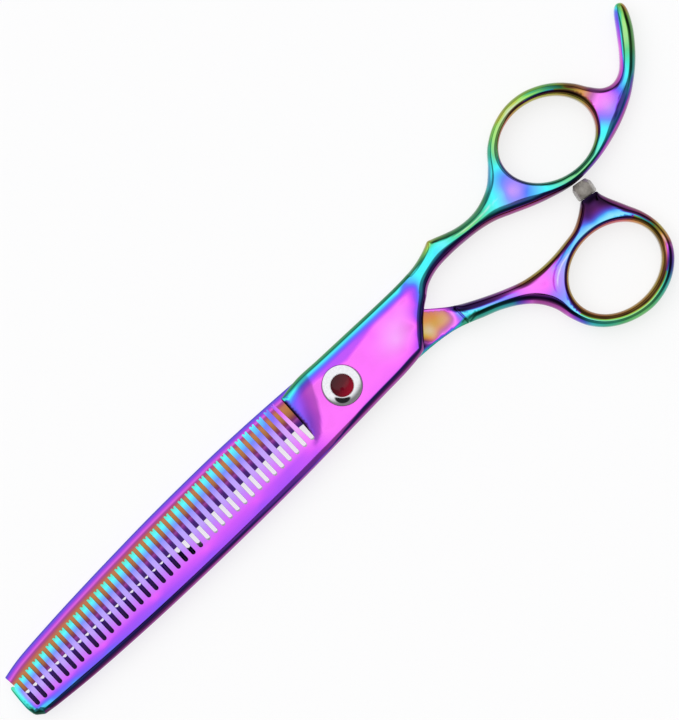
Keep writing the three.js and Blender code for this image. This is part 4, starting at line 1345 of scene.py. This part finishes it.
def make_nut():
    """The tension nut, with a slot on each side of the stud for a two-pinned key."""
    nut = lathe("tension_nut_disc", ring_profile(1.55, NUT_R, 0, NUT_TOP_Z, 0.12))
    half = KEY_SLOT_WIDTH / 2
    cut_away(nut, [
        block("key_slot_near", (-NUT_R - 1, -half, -1), (-KEY_SLOT_START, half, KEY_SLOT_DEPTH)),
        block("key_slot_far", (KEY_SLOT_START, -half, -1), (NUT_R + 1, half, KEY_SLOT_DEPTH)),
    ])
    material = bare_metal("nut_steel", NUT_STEEL, 0.22, turned=True)
    keep(nut, "tension_nut", "tension_nut", material)


def make_bumper():
    """The plug, turned about +Z and then laid along the stub's axis."""
    stem = [(0, -.8), (1, -.8), (1, .02)]
    plug = [(2.05, .02), (2.26, .2), (2.32, .5), (2.34, 1.6), (2.3, 2.5), (2.2, 2.75)]
    tip = [(1.7, 3.5), (1.55, 3.62), (1.3, 3.66), (0, 3.68)]
    piece = lathe("bumper_plug", [*stem, *plug, *tip], 64)
    base = Vector(BUMPER_BASE)
    ahead = Vector((math.cos(BUMPER_TURN), math.sin(BUMPER_TURN), 0))
    aside = Vector((-math.sin(BUMPER_TURN), math.cos(BUMPER_TURN), 0))
    for vertex in piece.data.vertices:
        up, across, out = vertex.co / MM
        vertex.co = (base + ahead * out + aside * across + Vector((0, 0, up))) * MM
    piece.data.update()
    keep(piece, "thumb_half", "bumper", smoky_rubber())


# ---- Studio ----

CEILING = {"towards": (0.12, math.sin(math.radians(32)), math.cos(math.radians(32))), "glow": 1.02}
CEILING_EDGE = (50, 38)
SIDES = {"towards": (-0.6, 0.8, 0), "from": (-0.6, 0.9), "glow": (0.24, 0.2)}
HORIZON_GLOW = 0.55
HORIZON_TOP = (6, 14)
DARK_FLAG = {"towards": (-0.145, -0.161, 0.976), "glow": 0.02}
FLAG_EDGE = (7.5, 5.5)
FLOOR_GREY = (140, 140, 141)
FLOOR_GLOW = 0.75
FLOOR_HALF = 3000
LAMP_POWER = 1.1
LAMP_SPREAD = math.radians(70)
LAMP_TURN = (math.radians(-18), math.radians(-8), 0)
LENS = 200
SENSOR_WIDTH = 36
VIEW_WIDTH = 153.8
VIEW_CENTRE = (3.355, 4.273, 4)
VIEW_TURN = math.radians(-44)


def cosines(degrees):
    return [math.cos(math.radians(angle)) for angle in degrees]


def make_world():
    """Soft studio surroundings: a bright ceiling leaning to +Y, darker sides, a pale horizon, and a small
    black flag that darkens one side of the screw's head."""
    world = bpy.data.worlds.new("studio")
    bpy.context.scene.world = world
    world.use_nodes = True
    tree = world.node_tree
    background = tree.nodes["Background"]
    coordinates = tree.nodes.new("ShaderNodeTexCoord").outputs["Generated"]

    def towards(direction):
        dot = tree.nodes.new("ShaderNodeVectorMath")
        dot.operation = "DOT_PRODUCT"
        tree.links.new(coordinates, dot.inputs[0])
        dot.inputs[1].default_value = Vector(direction).normalized()
        return dot.outputs["Value"]

    def mapped(value, span, out):
        made = tree.nodes.new("ShaderNodeMapRange")
        made.interpolation_type = "SMOOTHSTEP"
        tree.links.new(value, made.inputs["Value"])
        for key, number in zip(("From Min", "From Max", "To Min", "To Max"), (*span, *out)):
            if isinstance(number, (int, float)):
                made.inputs[key].default_value = number
            else:
                tree.links.new(number, made.inputs[key])
        return made.outputs["Result"]

    sides = mapped(towards(SIDES["towards"]), SIDES["from"], SIDES["glow"])
    lit = mapped(towards(CEILING["towards"]), cosines(CEILING_EDGE), (sides, CEILING["glow"]))
    height = [math.sin(math.radians(angle)) for angle in HORIZON_TOP]
    level = mapped(towards((0, 0, 1)), height, (HORIZON_GLOW, lit))
    level = mapped(towards(DARK_FLAG["towards"]), cosines(FLAG_EDGE), (level, DARK_FLAG["glow"]))
    tree.links.new(level, background.inputs["Strength"])
    background.inputs["Color"].default_value = (1, 1, 1, 1)


def make_floor():
    corners = [(-1, -1), (1, -1), (1, 1), (-1, 1)]
    floor = new_mesh("floor", [(x * FLOOR_HALF, y * FLOOR_HALF, FLOOR_Z) for x, y in corners], [(0, 1, 2, 3)])
    n = Nodes("pale_floor")
    n.set(Base_Color=linear(FLOOR_GREY), Roughness=0.9, Specular_IOR_Level=0.0, Emission_Color=(1, 1, 1, 1),
          Emission_Strength=FLOOR_GLOW)
    floor.data.materials.append(n.material)


def make_lamp():
    data = bpy.data.lights.new("softbox", "SUN")
    data.energy = LAMP_POWER
    data.angle = LAMP_SPREAD
    lamp = bpy.data.objects.new("softbox", data)
    lamp.rotation_euler = LAMP_TURN
    lamp.visible_glossy = False
    bpy.context.scene.collection.objects.link(lamp)


def make_camera():
    """Straight down, far off with a long lens, as wide as the object needs."""
    data = bpy.data.cameras.new("camera")
    data.lens = LENS
    data.sensor_width = SENSOR_WIDTH
    camera = bpy.data.objects.new("camera", data)
    distance = VIEW_WIDTH / SENSOR_WIDTH * LENS
    camera.location = (Vector(VIEW_CENTRE) + Vector((0, 0, distance))) * MM
    camera.rotation_euler = (0, 0, VIEW_TURN)
    bpy.context.scene.collection.objects.link(camera)
    bpy.context.scene.camera = camera


bpy.context.scene.view_settings.view_transform = "Standard"
make_camera()
film_steel_with_shading = film_steel_with_painted_shading()
make_toothed_half(film_steel_with_shading)
make_straight_half(film_steel_with_shading)
make_screw()
make_bearing()
make_nut()
make_bumper()
make_floor()
make_world()
make_lamp()
